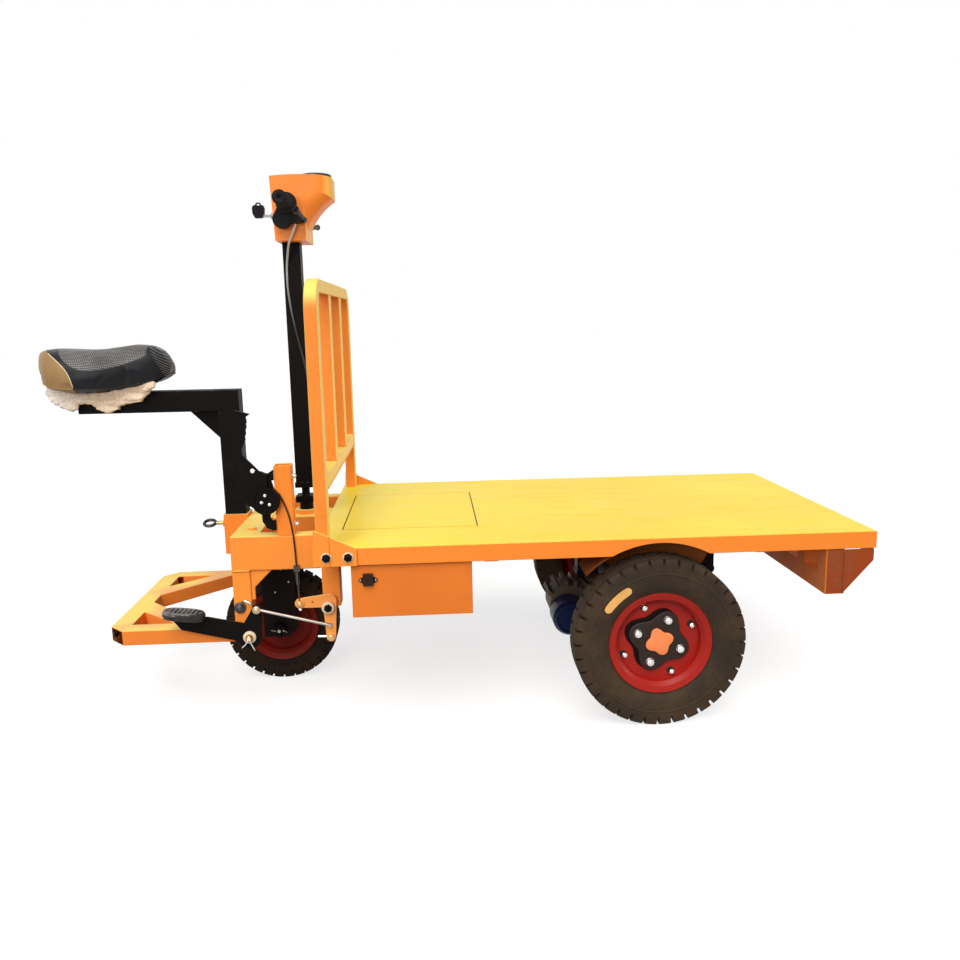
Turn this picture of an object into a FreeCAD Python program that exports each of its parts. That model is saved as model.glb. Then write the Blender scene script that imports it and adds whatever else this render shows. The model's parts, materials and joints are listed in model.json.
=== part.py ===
"""Electric platform trolley: a three-wheeled flatbed that its driver steers from a saddle at the front end.

Millimetres, +Z up, +X towards the load end, +Y to the left of a driver who faces the load.
Stations along X are measured from the deck's front edge while the model is built. Every solid is moved
once, on export, so that the origin is on the ground below the middle of the whole machine.
"""
import FreeCAD, Part
import math
import os

from FreeCAD import Vector

os.makedirs("parts", exist_ok=True)

# ---------------------------------------------------------------- deck
DECK_LENGTH = 1500.0
DECK_WIDTH = 900.0
DECK_TOP = 521.0
DECK_RAIL = 46.0
SHEET = 3.0
FRAME_TUBE = 50.0
FRAME_DEPTH = 46.0
MEMBER = 40.0
MID_MEMBER_INSET = 330.0
HATCH_FRONT = 57.0
HATCH_REAR = 441.0
HATCH_HALF_WIDTH = 243.0
HATCH_GAP = 3.0
LID_GAP = 0.3
ARCH_GAP = 42.0
ARCH_STAND = 32.0
ARCH_DROP = 50.0

# ---------------------------------------------------------------- front frame, legs and footrest
FRONT_REACH = 246.0
FRONT_HALF_WIDTH = 290.0
BEAM_WIDTH = 50.0
BEAM_DEPTH = 97.0
CROSS_BEAM_WIDTH = 75.0
HEAD_BEAM_HALF_WIDTH = 60.0
LEG = 50.0
LEG_GUSSET = 60.0
LEG_GUSSET_LIP = 10.0
LEG_GUSSET_DROP = 86.0
REAR_LEG_BOTTOM = 313.0
STEP_TOP = 262.0
STEP_DEPTH = 42.0
STEP_TUBE = 55.0
STEP_REACH = 602.0
STEP_HEEL = 186.0
STEP_WALL = 4.0
STEP_CHAMFER = 45.0
BRACE_ROOT = (34.0, 126.0)
BRACE_END = (363.0, 428.0)
BOSS_INSET = 27.0
BOSS_OFFSET = 212.0
BOSS_RADIUS = 12.0
BOSS_STAND = 9.0

# ---------------------------------------------------------------- wheels
REAR_TYRE_RADIUS = 233.0
REAR_TYRE_WIDTH = 100.0
REAR_RIM_RADIUS = 141.0
REAR_AXLE_INSET = 585.5
REAR_TRACK_HALF = 421.0
REAR_LUGS = 36
FRONT_TYRE_RADIUS = 173.0
FRONT_TYRE_WIDTH = 80.0
FRONT_RIM_RADIUS = 114.0
FRONT_LUGS = 32
RIM_FLANGE = 8.0
LUG_DEPTH = 12.0
LUG_SHARE = 0.80
STUB_RADIUS = 17.0
WHEEL_BOLTS = 4
HUB_LOBE_REACH = 56.0
HUB_LOBE_RADIUS = 26.0
HUB_PLATE = 9.0
HUB_NUT_TURN = 68.0
HUB_CAP_RADIUS = 33.0
RIM_BOLT_CIRCLE = 100.0
RIM_BOLT_HOLE = 8.0
RIM_BOLT_SINK = 3.0
DISC_SHARE = 0.24
RIM_BOLT_TURN = 23.0

# ---------------------------------------------------------------- steering
STEER_STATION = -73.0
TRAIL = 91.0
STEM_RADIUS = 20.0
HEAD_TUBE_RADIUS = 34.0
HEAD_TUBE_STAND = 14.0
COUPLING_BOTTOM = 558.0
COUPLING_TOP = 620.0
COUPLING_PLATE = 20.0
COUPLING_HALF = 28.0
NECK_RADIUS = 12.0
STEM_SOCKET = 15.0
COLUMN_TUBE = 50.0
FORK_GAP = 22.0
FORK_PLATE = 10.0
FORK_TOE = 24.0
FORK_EDGE = 52.0
CROWN_GAP = 24.0
CROWN = 12.0
AXLE_RADIUS = 10.0
NUT_RADIUS = 21.0
NUT_LENGTH = 20.0
NUT_SLOT_COUNT = 3
NUT_SLOT_WIDTH = 6.0

# ---------------------------------------------------------------- steering head
CONTROL_TOP = 1505.0
HEAD_HEIGHT = 180.0
CONTROL_HALF_WIDTH = 75.0
CONTROL_BACK = 43.0
CONTROL_NOSE = 127.0
CONTROL_NOSE_DEPTH = 62.0
CONTROL_NOSE_DROP = 5.0
CONTROL_NOSE_RADIUS = 42.0
CONTROL_FOOT_BACK = 35.0
CONTROL_FOOT_FRONT = 43.0
CONTROL_SWEEP = 14.0
CONTROL_PANEL = (35.0, 52.0)
CONTROL_PANEL_DROP = 58.0
CONTROL_PANEL_STAND = 2.5
DISPLAY_RADIUS = 45.0
DISPLAY_OFFSET = 78.0
DISPLAY_SINK = 6.0
DISPLAY_STAND = 19.0
DISPLAY_DOME = 165.0
GRIP_DROP = 83.0
GRIP_OFFSET = 8.0
GRIP_RADIUS = 19.5
GRIP_LENGTH = 125.0
GRIP_FLANGE_RADIUS = 29.0
BAR_RADIUS = 11.0
PERCH_WIDTH = 34.0
PERCH_GAP = 3.0
LEVER_CABLE = 3.0

# ---------------------------------------------------------------- seat
SEAT_TUBE = 62.0
SEAT_SOCKET_WALL = 5.0
SEAT_SOCKET_BOTTOM = 407.0
SEAT_SOCKET_TOP = 530.0
SEAT_POST_SINK = 110.0
SEAT_ARM_TOP = 905.0
SEAT_ARM_REACH = 718.0
SEAT_GUSSET = 90.0
LOCK_BOLT_DROP = 33.0
LOCK_BOLT_RADIUS = 6.0
RING_RADIUS = 17.0
RING_WIRE = 5.0
RING_TILT = 20.0
RING_SIDE_COUNT = 6
LOCK_BOSS = 10.0
LOCK_BOLT_REACH = 34.0
SADDLE_REACH = 831.0
SADDLE_RISE = 5.0
WRAP_HALF_WIDTH = 62.0
WRAP_FRONT = 490.0
WRAP_BACK = 800.0
WRAP_DROP = 58.0

# ---------------------------------------------------------------- headboard, battery box and bumper
HEADBOARD_TOP = 1206.0
HEADBOARD_RADIUS = 85.0
HEADBOARD_INNER_RADIUS = 35.0
POST_X = 33.0
POST_Y = 50.0
POST_STATION = 11.0
POST_GAP = 0.5
RAIL_HEIGHT = 35.0
LOW_RAIL_TOP = 706.0
BAR_COUNT = 2
BOX_FRONT = 96.0
BOX_REAR = 413.0
BOX_BOTTOM = 330.0
BOX_INSET = 10.0
BATTERY_MARGIN = 20.0
SOCKET_OFFSET = 44.0
SOCKET_DROP = 40.0
BUMPER_TUBE = 50.0
BUMPER_INSET = 135.0
BUMPER_BOTTOM = 348.0
BUMPER_MID = 265.0
BUMPER_LIP = 32.0
BRACKET_LENGTH = 115.0
BRACKET_SHOULDER = (24.0, 43.0)
BRACKET_TIP = (5.0, 51.0)

# ---------------------------------------------------------------- clearances and plate
RUNNING_FIT = 0.05
SLIDE_FIT = 0.4
PLATE = 6.0

# ---------------------------------------------------------------- values worked out from those above
DECK_HALF = DECK_WIDTH / 2
DECK_UNDER = DECK_TOP - SHEET
RAIL_BOTTOM = DECK_TOP - DECK_RAIL
FRAME_BOTTOM = DECK_UNDER - FRAME_DEPTH
BEAM_BOTTOM = DECK_TOP - BEAM_DEPTH
FRAME_HALF = FRONT_HALF_WIDTH - FRAME_TUBE
CROSS_BEAM_BACK = CROSS_BEAM_WIDTH - FRONT_REACH
MID_MEMBER_STATION = DECK_LENGTH - MID_MEMBER_INSET
REAR_AXLE_STATION = DECK_LENGTH - REAR_AXLE_INSET
BUMPER_STATION = DECK_LENGTH - BUMPER_INSET
CONTROL_BOTTOM = CONTROL_TOP - HEAD_HEIGHT
FRONT_AXLE_STATION = STEER_STATION - TRAIL
SEAT_STATION = -FRONT_REACH - SEAT_SOCKET_WALL - SLIDE_FIT - SEAT_TUBE / 2
SEAT_ARM_BOTTOM = SEAT_ARM_TOP - SEAT_TUBE
ARCH_RADIUS = REAR_TYRE_RADIUS + ARCH_GAP
STEP_BOTTOM = STEP_TOP - STEP_DEPTH
FORK_INNER = FRONT_TYRE_WIDTH / 2 + FORK_GAP
FORK_OUTER = FORK_INNER + FORK_PLATE
CROWN_BOTTOM = 2 * FRONT_TYRE_RADIUS + CROWN_GAP
ORIGIN_SHIFT = (SADDLE_REACH - DECK_LENGTH) / 2
Y_AXIS = Vector(0, 1, 0)
Z_AXIS = Vector(0, 0, 1)
BOTH_SIDES = (-1, 1)
FULL_TURN = 360.0


# ---------------------------------------------------------------- helpers
def export(node, shape):
    """Write one node, moved from stations to the part's own frame."""
    placed = shape.copy()
    placed.translate(Vector(ORIGIN_SHIFT, 0, 0))
    placed.exportStep("parts/" + node + ".step")


def block(x, y, z):
    """Box between the two ends given for each axis."""
    low = Vector(min(x), min(y), min(z))
    return Part.makeBox(abs(x[1] - x[0]), abs(y[1] - y[0]), abs(z[1] - z[0]), low)


def rod(start, end, radius):
    """Round bar between two points."""
    a = Vector(*start)
    b = Vector(*end)
    return Part.makeCylinder(radius, (b - a).Length, a, b - a)


def pin(x, z, y, radius):
    """Round bar across the machine between two Y values."""
    return rod((x, min(y), z), (x, max(y), z), radius)


def plate_xz(points, y):
    """Plate whose outline lies in the XZ plane, between the two Y values."""
    corners = [Vector(px, min(y), pz) for px, pz in points]
    face = Part.Face(Part.makePolygon(corners + corners[:1]))
    return face.extrude(Vector(0, abs(y[1] - y[0]), 0))


def plate_xy(points, z):
    """Plate whose outline lies in the XY plane, between the two Z values."""
    corners = [Vector(px, py, min(z)) for px, py in points]
    face = Part.Face(Part.makePolygon(corners + corners[:1]))
    return face.extrude(Vector(0, 0, abs(z[1] - z[0])))


def fuse(shapes):
    """One solid from pieces that meet."""
    return shapes[0].fuse(shapes[1:]).removeSplitter()


def side(lo, hi, sign):
    """A span of Y on one side of the centre plane."""
    return (sign * lo, sign * hi)


def turned(profile, centre):
    """Solid of revolution about the Y direction through centre, from (radius, y) corners."""
    cx, cz = centre
    corners = [Vector(cx + r, y, cz) for r, y in profile]
    face = Part.Face(Part.makePolygon(corners + corners[:1]))
    return face.revolve(Vector(cx, 0, cz), Y_AXIS, FULL_TURN)


def link_plate(points, radii, y):
    """Flat link: round lobes at the points, joined by straight-sided webs."""
    pieces = [pin(p[0], p[1], y, r) for p, r in zip(points, radii)]
    for (a, ra), (b, rb) in zip(zip(points, radii), zip(points[1:], radii[1:])):
        across = Vector(a[1] - b[1], 0, b[0] - a[0]).normalize()
        corners = [(a[0] + across.x * ra, a[1] + across.z * ra),
                   (b[0] + across.x * rb, b[1] + across.z * rb),
                   (b[0] - across.x * rb, b[1] - across.z * rb),
                   (a[0] - across.x * ra, a[1] - across.z * ra)]
        pieces.append(plate_xz(corners, y))
    return fuse(pieces)


def cable(points, radius):
    """Round cable along straight runs joined by tangent arcs."""
    route = [Vector(*p) for p in points]
    edges = []
    here = route[0]
    for before, corner, after in zip(route, route[1:], route[2:]):
        u = (corner - before).normalize()
        v = (after - corner).normalize()
        reach = 0.45 * min((corner - before).Length, (after - corner).Length)
        start = corner - u * reach
        end = corner + v * reach
        half_turn = u.getAngle(v) / 2
        bend = reach / math.tan(half_turn)
        centre = corner + (v - u).normalize() * (bend / math.cos(half_turn))
        middle = centre + (corner - centre).normalize() * bend
        edges.append(Part.LineSegment(here, start).toShape())
        edges.append(Part.Arc(start, middle, end).toShape())
        here = end
    edges.append(Part.LineSegment(here, route[-1]).toShape())
    circle = Part.Wire(Part.makeCircle(radius, route[0], route[1] - route[0]))
    return Part.Wire(edges).makePipeShell([circle], True, False)


# ---------------------------------------------------------------- deck
def wheel_arch(sign):
    """Mudguard over one rear wheel: a curved liner that hangs from the rail, and its inner wall."""
    at = (REAR_AXLE_STATION, REAR_TYRE_RADIUS)
    inner = FRONT_HALF_WIDTH + ARCH_STAND + SHEET
    liner_y = side(inner, DECK_HALF - SHEET, sign)
    wall_y = side(inner - SHEET, inner, sign)
    reach = (REAR_AXLE_STATION - ARCH_RADIUS, REAR_AXLE_STATION + ARCH_RADIUS)
    liner = pin(*at, liner_y, ARCH_RADIUS + SHEET).cut(pin(*at, liner_y, ARCH_RADIUS))
    liner = liner.common(block(reach, liner_y, (RAIL_BOTTOM - ARCH_DROP, DECK_UNDER)))
    wall = pin(*at, wall_y, ARCH_RADIUS + SHEET)
    wall = wall.common(block(reach, wall_y, (RAIL_BOTTOM - ARCH_DROP / 2, DECK_UNDER)))
    return fuse([liner, wall])


def deck_plate():
    """Sheet tray with folded-down rails, a hatch opening and an arched cut over each rear wheel."""
    z = (RAIL_BOTTOM, DECK_TOP)
    tray = block((0, DECK_LENGTH), (-DECK_HALF, DECK_HALF), z)
    inner = block((SHEET, DECK_LENGTH - SHEET), (SHEET - DECK_HALF, DECK_HALF - SHEET),
                  (RAIL_BOTTOM, DECK_UNDER))
    hatch = block((HATCH_FRONT, HATCH_REAR), (-HATCH_HALF_WIDTH, HATCH_HALF_WIDTH), (DECK_UNDER, DECK_TOP))
    arch = pin(REAR_AXLE_STATION, REAR_TYRE_RADIUS, (-DECK_WIDTH, DECK_WIDTH), ARCH_RADIUS)
    notch_x = (POST_STATION - POST_GAP, POST_STATION + POST_X + POST_GAP)
    notches = [block(notch_x, side(DECK_HALF - POST_Y - POST_GAP, DECK_WIDTH, s), z) for s in BOTH_SIDES]
    return tray.cut([inner, hatch, arch] + notches)


def deck_frame():
    """Welded frame below the sheet: two long rails and the cross-members between and beside them."""
    z = (FRAME_BOTTOM, DECK_UNDER)
    x = (SHEET, DECK_LENGTH - SHEET)
    pieces = [block(x, side(FRAME_HALF, FRONT_HALF_WIDTH, s), z) for s in BOTH_SIDES]
    front_half = DECK_HALF - POST_Y - POST_GAP
    pieces.append(block((SHEET, SHEET + MEMBER), (-front_half, front_half), z))
    half = DECK_HALF - SHEET
    for x in (HATCH_REAR + SHEET, MID_MEMBER_STATION, DECK_LENGTH - SHEET - MEMBER):
        pieces.append(block((x, x + MEMBER), (-half, half), z))
    return fuse(pieces)


def hatch_lid():
    """Lid over the batteries, flush with the deck."""
    y = HATCH_HALF_WIDTH - HATCH_GAP
    return block((HATCH_FRONT + HATCH_GAP, HATCH_REAR - HATCH_GAP), (-y, y),
                 (DECK_UNDER + LID_GAP, DECK_TOP))


def battery_box():
    """Open-topped sheet box hung below the deck frame."""
    half = DECK_HALF - BOX_INSET
    outer = block((BOX_FRONT, BOX_REAR), (-half, half), (BOX_BOTTOM, FRAME_BOTTOM))
    inner_x = (BOX_FRONT + SHEET, BOX_REAR - SHEET)
    inner = block(inner_x, (SHEET - half, half - SHEET), (BOX_BOTTOM + SHEET, FRAME_BOTTOM))
    return outer.cut(inner)


def battery_block():
    """The batteries as one plain mass, standing on the box floor."""
    x = (BOX_FRONT + BATTERY_MARGIN, BOX_REAR - BATTERY_MARGIN)
    y = HATCH_HALF_WIDTH - BATTERY_MARGIN
    return block(x, (-y, y), (BOX_BOTTOM + SHEET, FRAME_BOTTOM - BATTERY_MARGIN / 2))


def charging_socket():
    """Charging inlet with two screw ears and a spring cover."""
    cx = BOX_FRONT + SOCKET_OFFSET
    cz = FRAME_BOTTOM - SOCKET_DROP
    face = BOX_INSET - DECK_HALF
    ear, body, height = 25.0, 13.0, 16.0
    half_outline = [(ear, 2.5), (body, 9.0), (body, height), (-body, height), (-body, 9.0), (-ear, 2.5)]
    outline = half_outline + [(x, -z) for x, z in reversed(half_outline)]
    flange = plate_xz([(cx + x, cz + z) for x, z in outline], (face - SHEET, face))
    holes = [pin(cx + s * (ear - 5), cz, (face - 10, face), 2.2) for s in BOTH_SIDES]
    cover = block((cx - body, cx + body), (face - 11, face), (cz - height + 3, cz + height))
    knuckle = rod((cx - body, face - 8, cz + height), (cx + body, face - 8, cz + height), 4)
    return fuse([flange.cut(holes), cover, knuckle])


def rear_bumper():
    """Posts, a low cross-beam and gussets that guard the load end."""
    x = (BUMPER_STATION, BUMPER_STATION + BUMPER_TUBE)
    end = DECK_LENGTH - SHEET
    outer = DECK_HALF - SHEET
    pieces = [block(x, (-outer, outer), (BUMPER_BOTTOM, BUMPER_BOTTOM + BUMPER_TUBE))]
    gusset = [(x[1], FRAME_BOTTOM), (end, FRAME_BOTTOM), (end, FRAME_BOTTOM - BUMPER_LIP),
              (x[1], BUMPER_BOTTOM)]
    for s in BOTH_SIDES:
        pieces.append(block(x, side(outer - BUMPER_TUBE, outer, s), (BUMPER_BOTTOM, DECK_UNDER)))
        pieces.append(block(x, side(BUMPER_MID, BUMPER_MID + BUMPER_TUBE, s),
                            (BUMPER_BOTTOM, FRAME_BOTTOM)))
        pieces.append(plate_xz(gusset, side(outer - PLATE, outer, s)))
    return fuse(pieces)


# ---------------------------------------------------------------- headboard
def top_corners(shape, x, half, top):
    """Edges along X at the two upper corners of a block."""
    found = []
    for edge in shape.Edges:
        middle = edge.CenterOfMass
        if abs(abs(middle.y) - half) < 0.01 and abs(middle.z - top) < 0.01 and abs(middle.x - x) < 0.01:
            found.append(edge)
    return found


def headboard_frame():
    """Bent hoop of two posts and a top rail, with a low rail between the posts."""
    x = (POST_STATION, POST_STATION + POST_X)
    mid = POST_STATION + POST_X / 2
    hoop = block(x, (-DECK_HALF, DECK_HALF), (RAIL_BOTTOM, HEADBOARD_TOP))
    hoop = hoop.makeFillet(HEADBOARD_RADIUS, top_corners(hoop, mid, DECK_HALF, HEADBOARD_TOP))
    half = DECK_HALF - POST_Y
    top = HEADBOARD_TOP - RAIL_HEIGHT
    window = block(x, (-half, half), (LOW_RAIL_TOP, top))
    window = window.makeFillet(HEADBOARD_INNER_RADIUS, top_corners(window, mid, half, top))
    below = block(x, (-half, half), (RAIL_BOTTOM, LOW_RAIL_TOP - RAIL_HEIGHT))
    return hoop.cut([window, below])


def headboard_bars():
    """Upright bars between the low rail and the top rail."""
    pitch = (DECK_WIDTH - POST_Y) / (BAR_COUNT + 1)
    x = (POST_STATION, POST_STATION + POST_X)
    z = (LOW_RAIL_TOP, HEADBOARD_TOP - RAIL_HEIGHT)
    bars = []
    for n in range(1, BAR_COUNT + 1):
        low = n * pitch - DECK_HALF
        bars.append(block(x, (low, low + POST_Y), z))
    return Part.makeCompound(bars)


def bracket_plate(sign):
    """Side plate welded to a headboard post and bolted to the deck's rail."""
    outline = [(1, RAIL_BOTTOM), (BRACKET_LENGTH, RAIL_BOTTOM), (BRACKET_LENGTH, DECK_TOP),
               (BRACKET_SHOULDER[0], DECK_TOP + BRACKET_SHOULDER[1]),
               (BRACKET_TIP[0], DECK_TOP + BRACKET_TIP[1])]
    return plate_xz(outline, side(DECK_HALF, DECK_HALF + PLATE, sign))


# ---------------------------------------------------------------- front frame
def front_frame():
    """Side beams and cross-beam that carry the driver's end, with a threaded boss on top."""
    z = (BEAM_BOTTOM, DECK_TOP)
    inner = FRONT_HALF_WIDTH - BEAM_WIDTH
    pieces = [block((-FRONT_REACH, 0), side(inner, FRONT_HALF_WIDTH, s), z) for s in BOTH_SIDES]
    pieces.append(block((-FRONT_REACH, CROSS_BEAM_BACK), (-inner, inner), z))
    boss_x = CROSS_BEAM_BACK - BOSS_INSET
    ends = (BEAM_BOTTOM, DECK_TOP + BOSS_STAND)
    pieces.append(rod((boss_x, -BOSS_OFFSET, ends[0]), (boss_x, -BOSS_OFFSET, ends[1]), BOSS_RADIUS))
    return fuse(pieces)


def head_beam():
    """Central beam with the upright tube that the steering stem turns in."""
    z = (BEAM_BOTTOM, DECK_TOP)
    beam = block((CROSS_BEAM_BACK, 0), (-HEAD_BEAM_HALF_WIDTH, HEAD_BEAM_HALF_WIDTH), z)
    ends = (BEAM_BOTTOM - HEAD_TUBE_STAND, DECK_TOP + HEAD_TUBE_STAND)
    tube = rod((STEER_STATION, 0, ends[0]), (STEER_STATION, 0, ends[1]), HEAD_TUBE_RADIUS)
    bore = rod((STEER_STATION, 0, ends[0]), (STEER_STATION, 0, ends[1]), STEM_RADIUS + RUNNING_FIT)
    return fuse([beam, tube]).cut(bore)


def front_legs():
    """Four legs below the front frame, each front one with a gusset."""
    inner = FRONT_HALF_WIDTH - LEG
    front = (-FRONT_REACH, LEG - FRONT_REACH)
    lip = front[1] + LEG_GUSSET_LIP
    corner = [(front[1], BEAM_BOTTOM), (front[1] + LEG_GUSSET, BEAM_BOTTOM),
              (lip, BEAM_BOTTOM - LEG_GUSSET + LEG_GUSSET_LIP), (lip, BEAM_BOTTOM - LEG_GUSSET_DROP),
              (front[1], BEAM_BOTTOM - LEG_GUSSET_DROP)]
    pieces = []
    for s in BOTH_SIDES:
        leg = block(front, side(inner, FRONT_HALF_WIDTH, s), (STEP_TOP, BEAM_BOTTOM))
        gusset = plate_xz(corner, side(FRONT_HALF_WIDTH - 2 * PLATE, FRONT_HALF_WIDTH - PLATE, s))
        pieces.append(fuse([leg, gusset]))
        pieces.append(block((0, LEG), side(inner, FRONT_HALF_WIDTH, s), (REAR_LEG_BOTTOM, FRAME_BOTTOM)))
    return Part.makeCompound(pieces)


def step_pocket(sign):
    """The hollow seen in the open tube end at one chamfered corner of the footrest."""
    face = STEP_CHAMFER * math.sqrt(2)
    y = (STEP_WALL - face / 2, face / 2 - STEP_WALL)
    hollow = block((-1, STEP_TUBE), y, (STEP_BOTTOM + STEP_WALL, STEP_TOP - STEP_WALL))
    hollow.rotate(Vector(0, 0, 0), Z_AXIS, -45 * sign)
    hollow.translate(Vector(STEP_CHAMFER / 2 - STEP_REACH, sign * (FRONT_HALF_WIDTH - STEP_CHAMFER / 2), 0))
    return hollow


def step_frame():
    """Footrest of square tube: a front bar, two arms under the legs and two braces."""
    z = (STEP_BOTTOM, STEP_TOP)
    outer = FRONT_HALF_WIDTH
    inner = outer - STEP_TUBE
    front = -STEP_REACH
    bar = front + STEP_TUBE
    half_outline = [(front, outer - STEP_CHAMFER), (front + STEP_CHAMFER, outer), (-STEP_HEEL, outer),
                    (-STEP_HEEL, inner), (bar, inner)]
    outline = half_outline + [(x, -y) for x, y in reversed(half_outline)]
    pieces = [plate_xy(outline, z)]
    for s in BOTH_SIDES:
        brace = [(bar, s * BRACE_ROOT[0]), (-BRACE_END[0], s * inner), (-BRACE_END[1], s * inner),
                 (bar, s * BRACE_ROOT[1])]
        pieces.append(plate_xy(brace, z))
    return fuse(pieces).cut([step_pocket(s) for s in BOTH_SIDES])


def lock_ring():
    """Ring of the seat's lock bolt, leaning towards one side."""
    corners = []
    for n in range(RING_SIDE_COUNT):
        angle = 2 * math.pi * n / RING_SIDE_COUNT
        corners.append(Vector(RING_RADIUS + RING_WIRE * math.cos(angle), 0, RING_WIRE * math.sin(angle)))
    ring = Part.Face(Part.makePolygon(corners + corners[:1])).revolve(Vector(0, 0, 0), Z_AXIS, FULL_TURN)
    ring.rotate(Vector(0, 0, 0), Vector(1, 0, 0), RING_TILT)
    return ring


def seat_socket():
    """Square socket welded to the cross-beam, with a ring bolt that locks the seat post."""
    hole = SEAT_TUBE / 2 + SLIDE_FIT
    outer = hole + SEAT_SOCKET_WALL
    z = (SEAT_SOCKET_BOTTOM, SEAT_SOCKET_TOP)
    body = block((SEAT_STATION - outer, SEAT_STATION + outer), (-outer, outer), z)
    inside = block((SEAT_STATION - hole, SEAT_STATION + hole), (-hole, hole), z)
    bolt_z = SEAT_SOCKET_TOP - LOCK_BOLT_DROP
    wall = SEAT_STATION - outer
    boss = rod((wall, 0, bolt_z), (wall - LOCK_BOSS, 0, bolt_z), 2 * LOCK_BOLT_RADIUS)
    bolt = rod((wall, 0, bolt_z), (wall - LOCK_BOLT_REACH, 0, bolt_z), LOCK_BOLT_RADIUS)
    ring = lock_ring()
    ring.translate(Vector(wall - LOCK_BOLT_REACH - RING_RADIUS, 0, bolt_z))
    return fuse([body.cut(inside), boss, bolt, ring])


# ---------------------------------------------------------------- seat
def seat_post():
    """Upright and arm of square tube with a triangular gusset."""
    half = SEAT_TUBE / 2
    y = (-half, half)
    back = SEAT_STATION - half
    front = SEAT_STATION + half
    post = block((back, front), y, (SEAT_SOCKET_TOP - SEAT_POST_SINK, SEAT_ARM_TOP))
    arm = block((-SEAT_ARM_REACH, front), y, (SEAT_ARM_BOTTOM, SEAT_ARM_TOP))
    corner = [(back, SEAT_ARM_BOTTOM), (back - SEAT_GUSSET, SEAT_ARM_BOTTOM),
              (back, SEAT_ARM_BOTTOM - SEAT_GUSSET)]
    return fuse([post, arm, plate_xz(corner, (-PLATE / 2, PLATE / 2))])


def saddle():
    """Padded saddle: broad at the tail, dished in the middle, raised and narrow at the nose."""
    # distance from the tail, half width, underside and top, both above the arm
    stations = ((0, 34, 44, 88), (12, 64, 30, 116), (30, 90, 22, 124), (60, 106, 14, 128),
                (135, 126, 4, 122), (214, 112, 8, 118), (294, 82, 22, 132), (344, 66, 34, 132),
                (379, 52, 44, 108), (398, 36, 52, 70))
    rings = []
    for reach, half, low, top in stations:
        x = reach - SADDLE_REACH
        base = SEAT_ARM_TOP + SADDLE_RISE
        mid = low + (top - low) * 0.45
        rim = low + (top - low) * 0.85
        outline = [(-0.72 * half, low), (0.72 * half, low), (half, mid), (0.86 * half, rim),
                   (0.45 * half, top), (-0.45 * half, top), (-0.86 * half, rim), (-half, mid)]
        corners = [Vector(x, y, base + z) for y, z in outline]
        rings.append(Part.makePolygon(corners + corners[:1]))
    return Part.makeLoft(rings, True, True)


def saddle_wrap():
    """Packing foam wound round the arm below the saddle."""
    y = (-WRAP_HALF_WIDTH, WRAP_HALF_WIDTH)
    top = SEAT_ARM_TOP + SADDLE_RISE + 35
    low = SEAT_ARM_TOP - WRAP_DROP
    outline = [(-WRAP_BACK, top), (-WRAP_FRONT, top), (-WRAP_FRONT - 10, low + 50), (-WRAP_FRONT - 95, low),
               (-SEAT_ARM_REACH + 55, low), (-SEAT_ARM_REACH + 5, low + 25), (-WRAP_BACK + 5, low + 40)]
    foam = plate_xz(outline, y).cut([saddle(), seat_post()])
    return max(foam.Solids, key=lambda solid: solid.Volume)


# ---------------------------------------------------------------- steering
def steering_fork():
    """Stem, crown and two plates that hold the front wheel."""
    axle_x = FRONT_AXLE_STATION
    axle_z = FRONT_TYRE_RADIUS
    crown_z = (CROWN_BOTTOM, CROWN_BOTTOM + CROWN)
    front = STEER_STATION + HEAD_TUBE_RADIUS
    stem = rod((STEER_STATION, 0, crown_z[0]), (STEER_STATION, 0, COUPLING_BOTTOM + STEM_SOCKET),
               STEM_RADIUS)
    pieces = [stem, block((axle_x - 2 * FORK_TOE, front), (-FORK_OUTER, FORK_OUTER), crown_z)]
    toe = axle_z - FORK_TOE
    edge = axle_x + FORK_EDGE
    outline = [(axle_x - 2 * FORK_TOE, toe), (edge - FORK_TOE, toe), (edge, toe + FORK_TOE),
               (edge, crown_z[0]), (axle_x - 2 * FORK_TOE, crown_z[0])]
    for s in BOTH_SIDES:
        pieces.append(plate_xz(outline, side(FORK_INNER, FORK_OUTER, s)))
    return fuse(pieces).cut(pin(axle_x, axle_z, (-FORK_OUTER, FORK_OUTER), AXLE_RADIUS))


def front_axle():
    """Axle bolt with a castellated nut outside each fork plate."""
    x = FRONT_AXLE_STATION
    z = FRONT_TYRE_RADIUS
    end = FORK_OUTER + NUT_LENGTH
    pieces = [pin(x, z, (-end, end), AXLE_RADIUS)]
    for s in BOTH_SIDES:
        nut = pin(x, z, side(FORK_OUTER, end, s), NUT_RADIUS)
        for n in range(NUT_SLOT_COUNT):
            across = (-NUT_SLOT_WIDTH / 2, NUT_SLOT_WIDTH / 2)
            slot = block((-NUT_RADIUS, NUT_RADIUS), side(end - NUT_LENGTH / 3, end, s), across)
            slot.rotate(Vector(0, 0, 0), Y_AXIS, n * FULL_TURN / 2 / NUT_SLOT_COUNT)
            slot.translate(Vector(x, 0, z))
            nut = nut.cut(slot)
        pieces.append(nut)
    return fuse(pieces)


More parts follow.
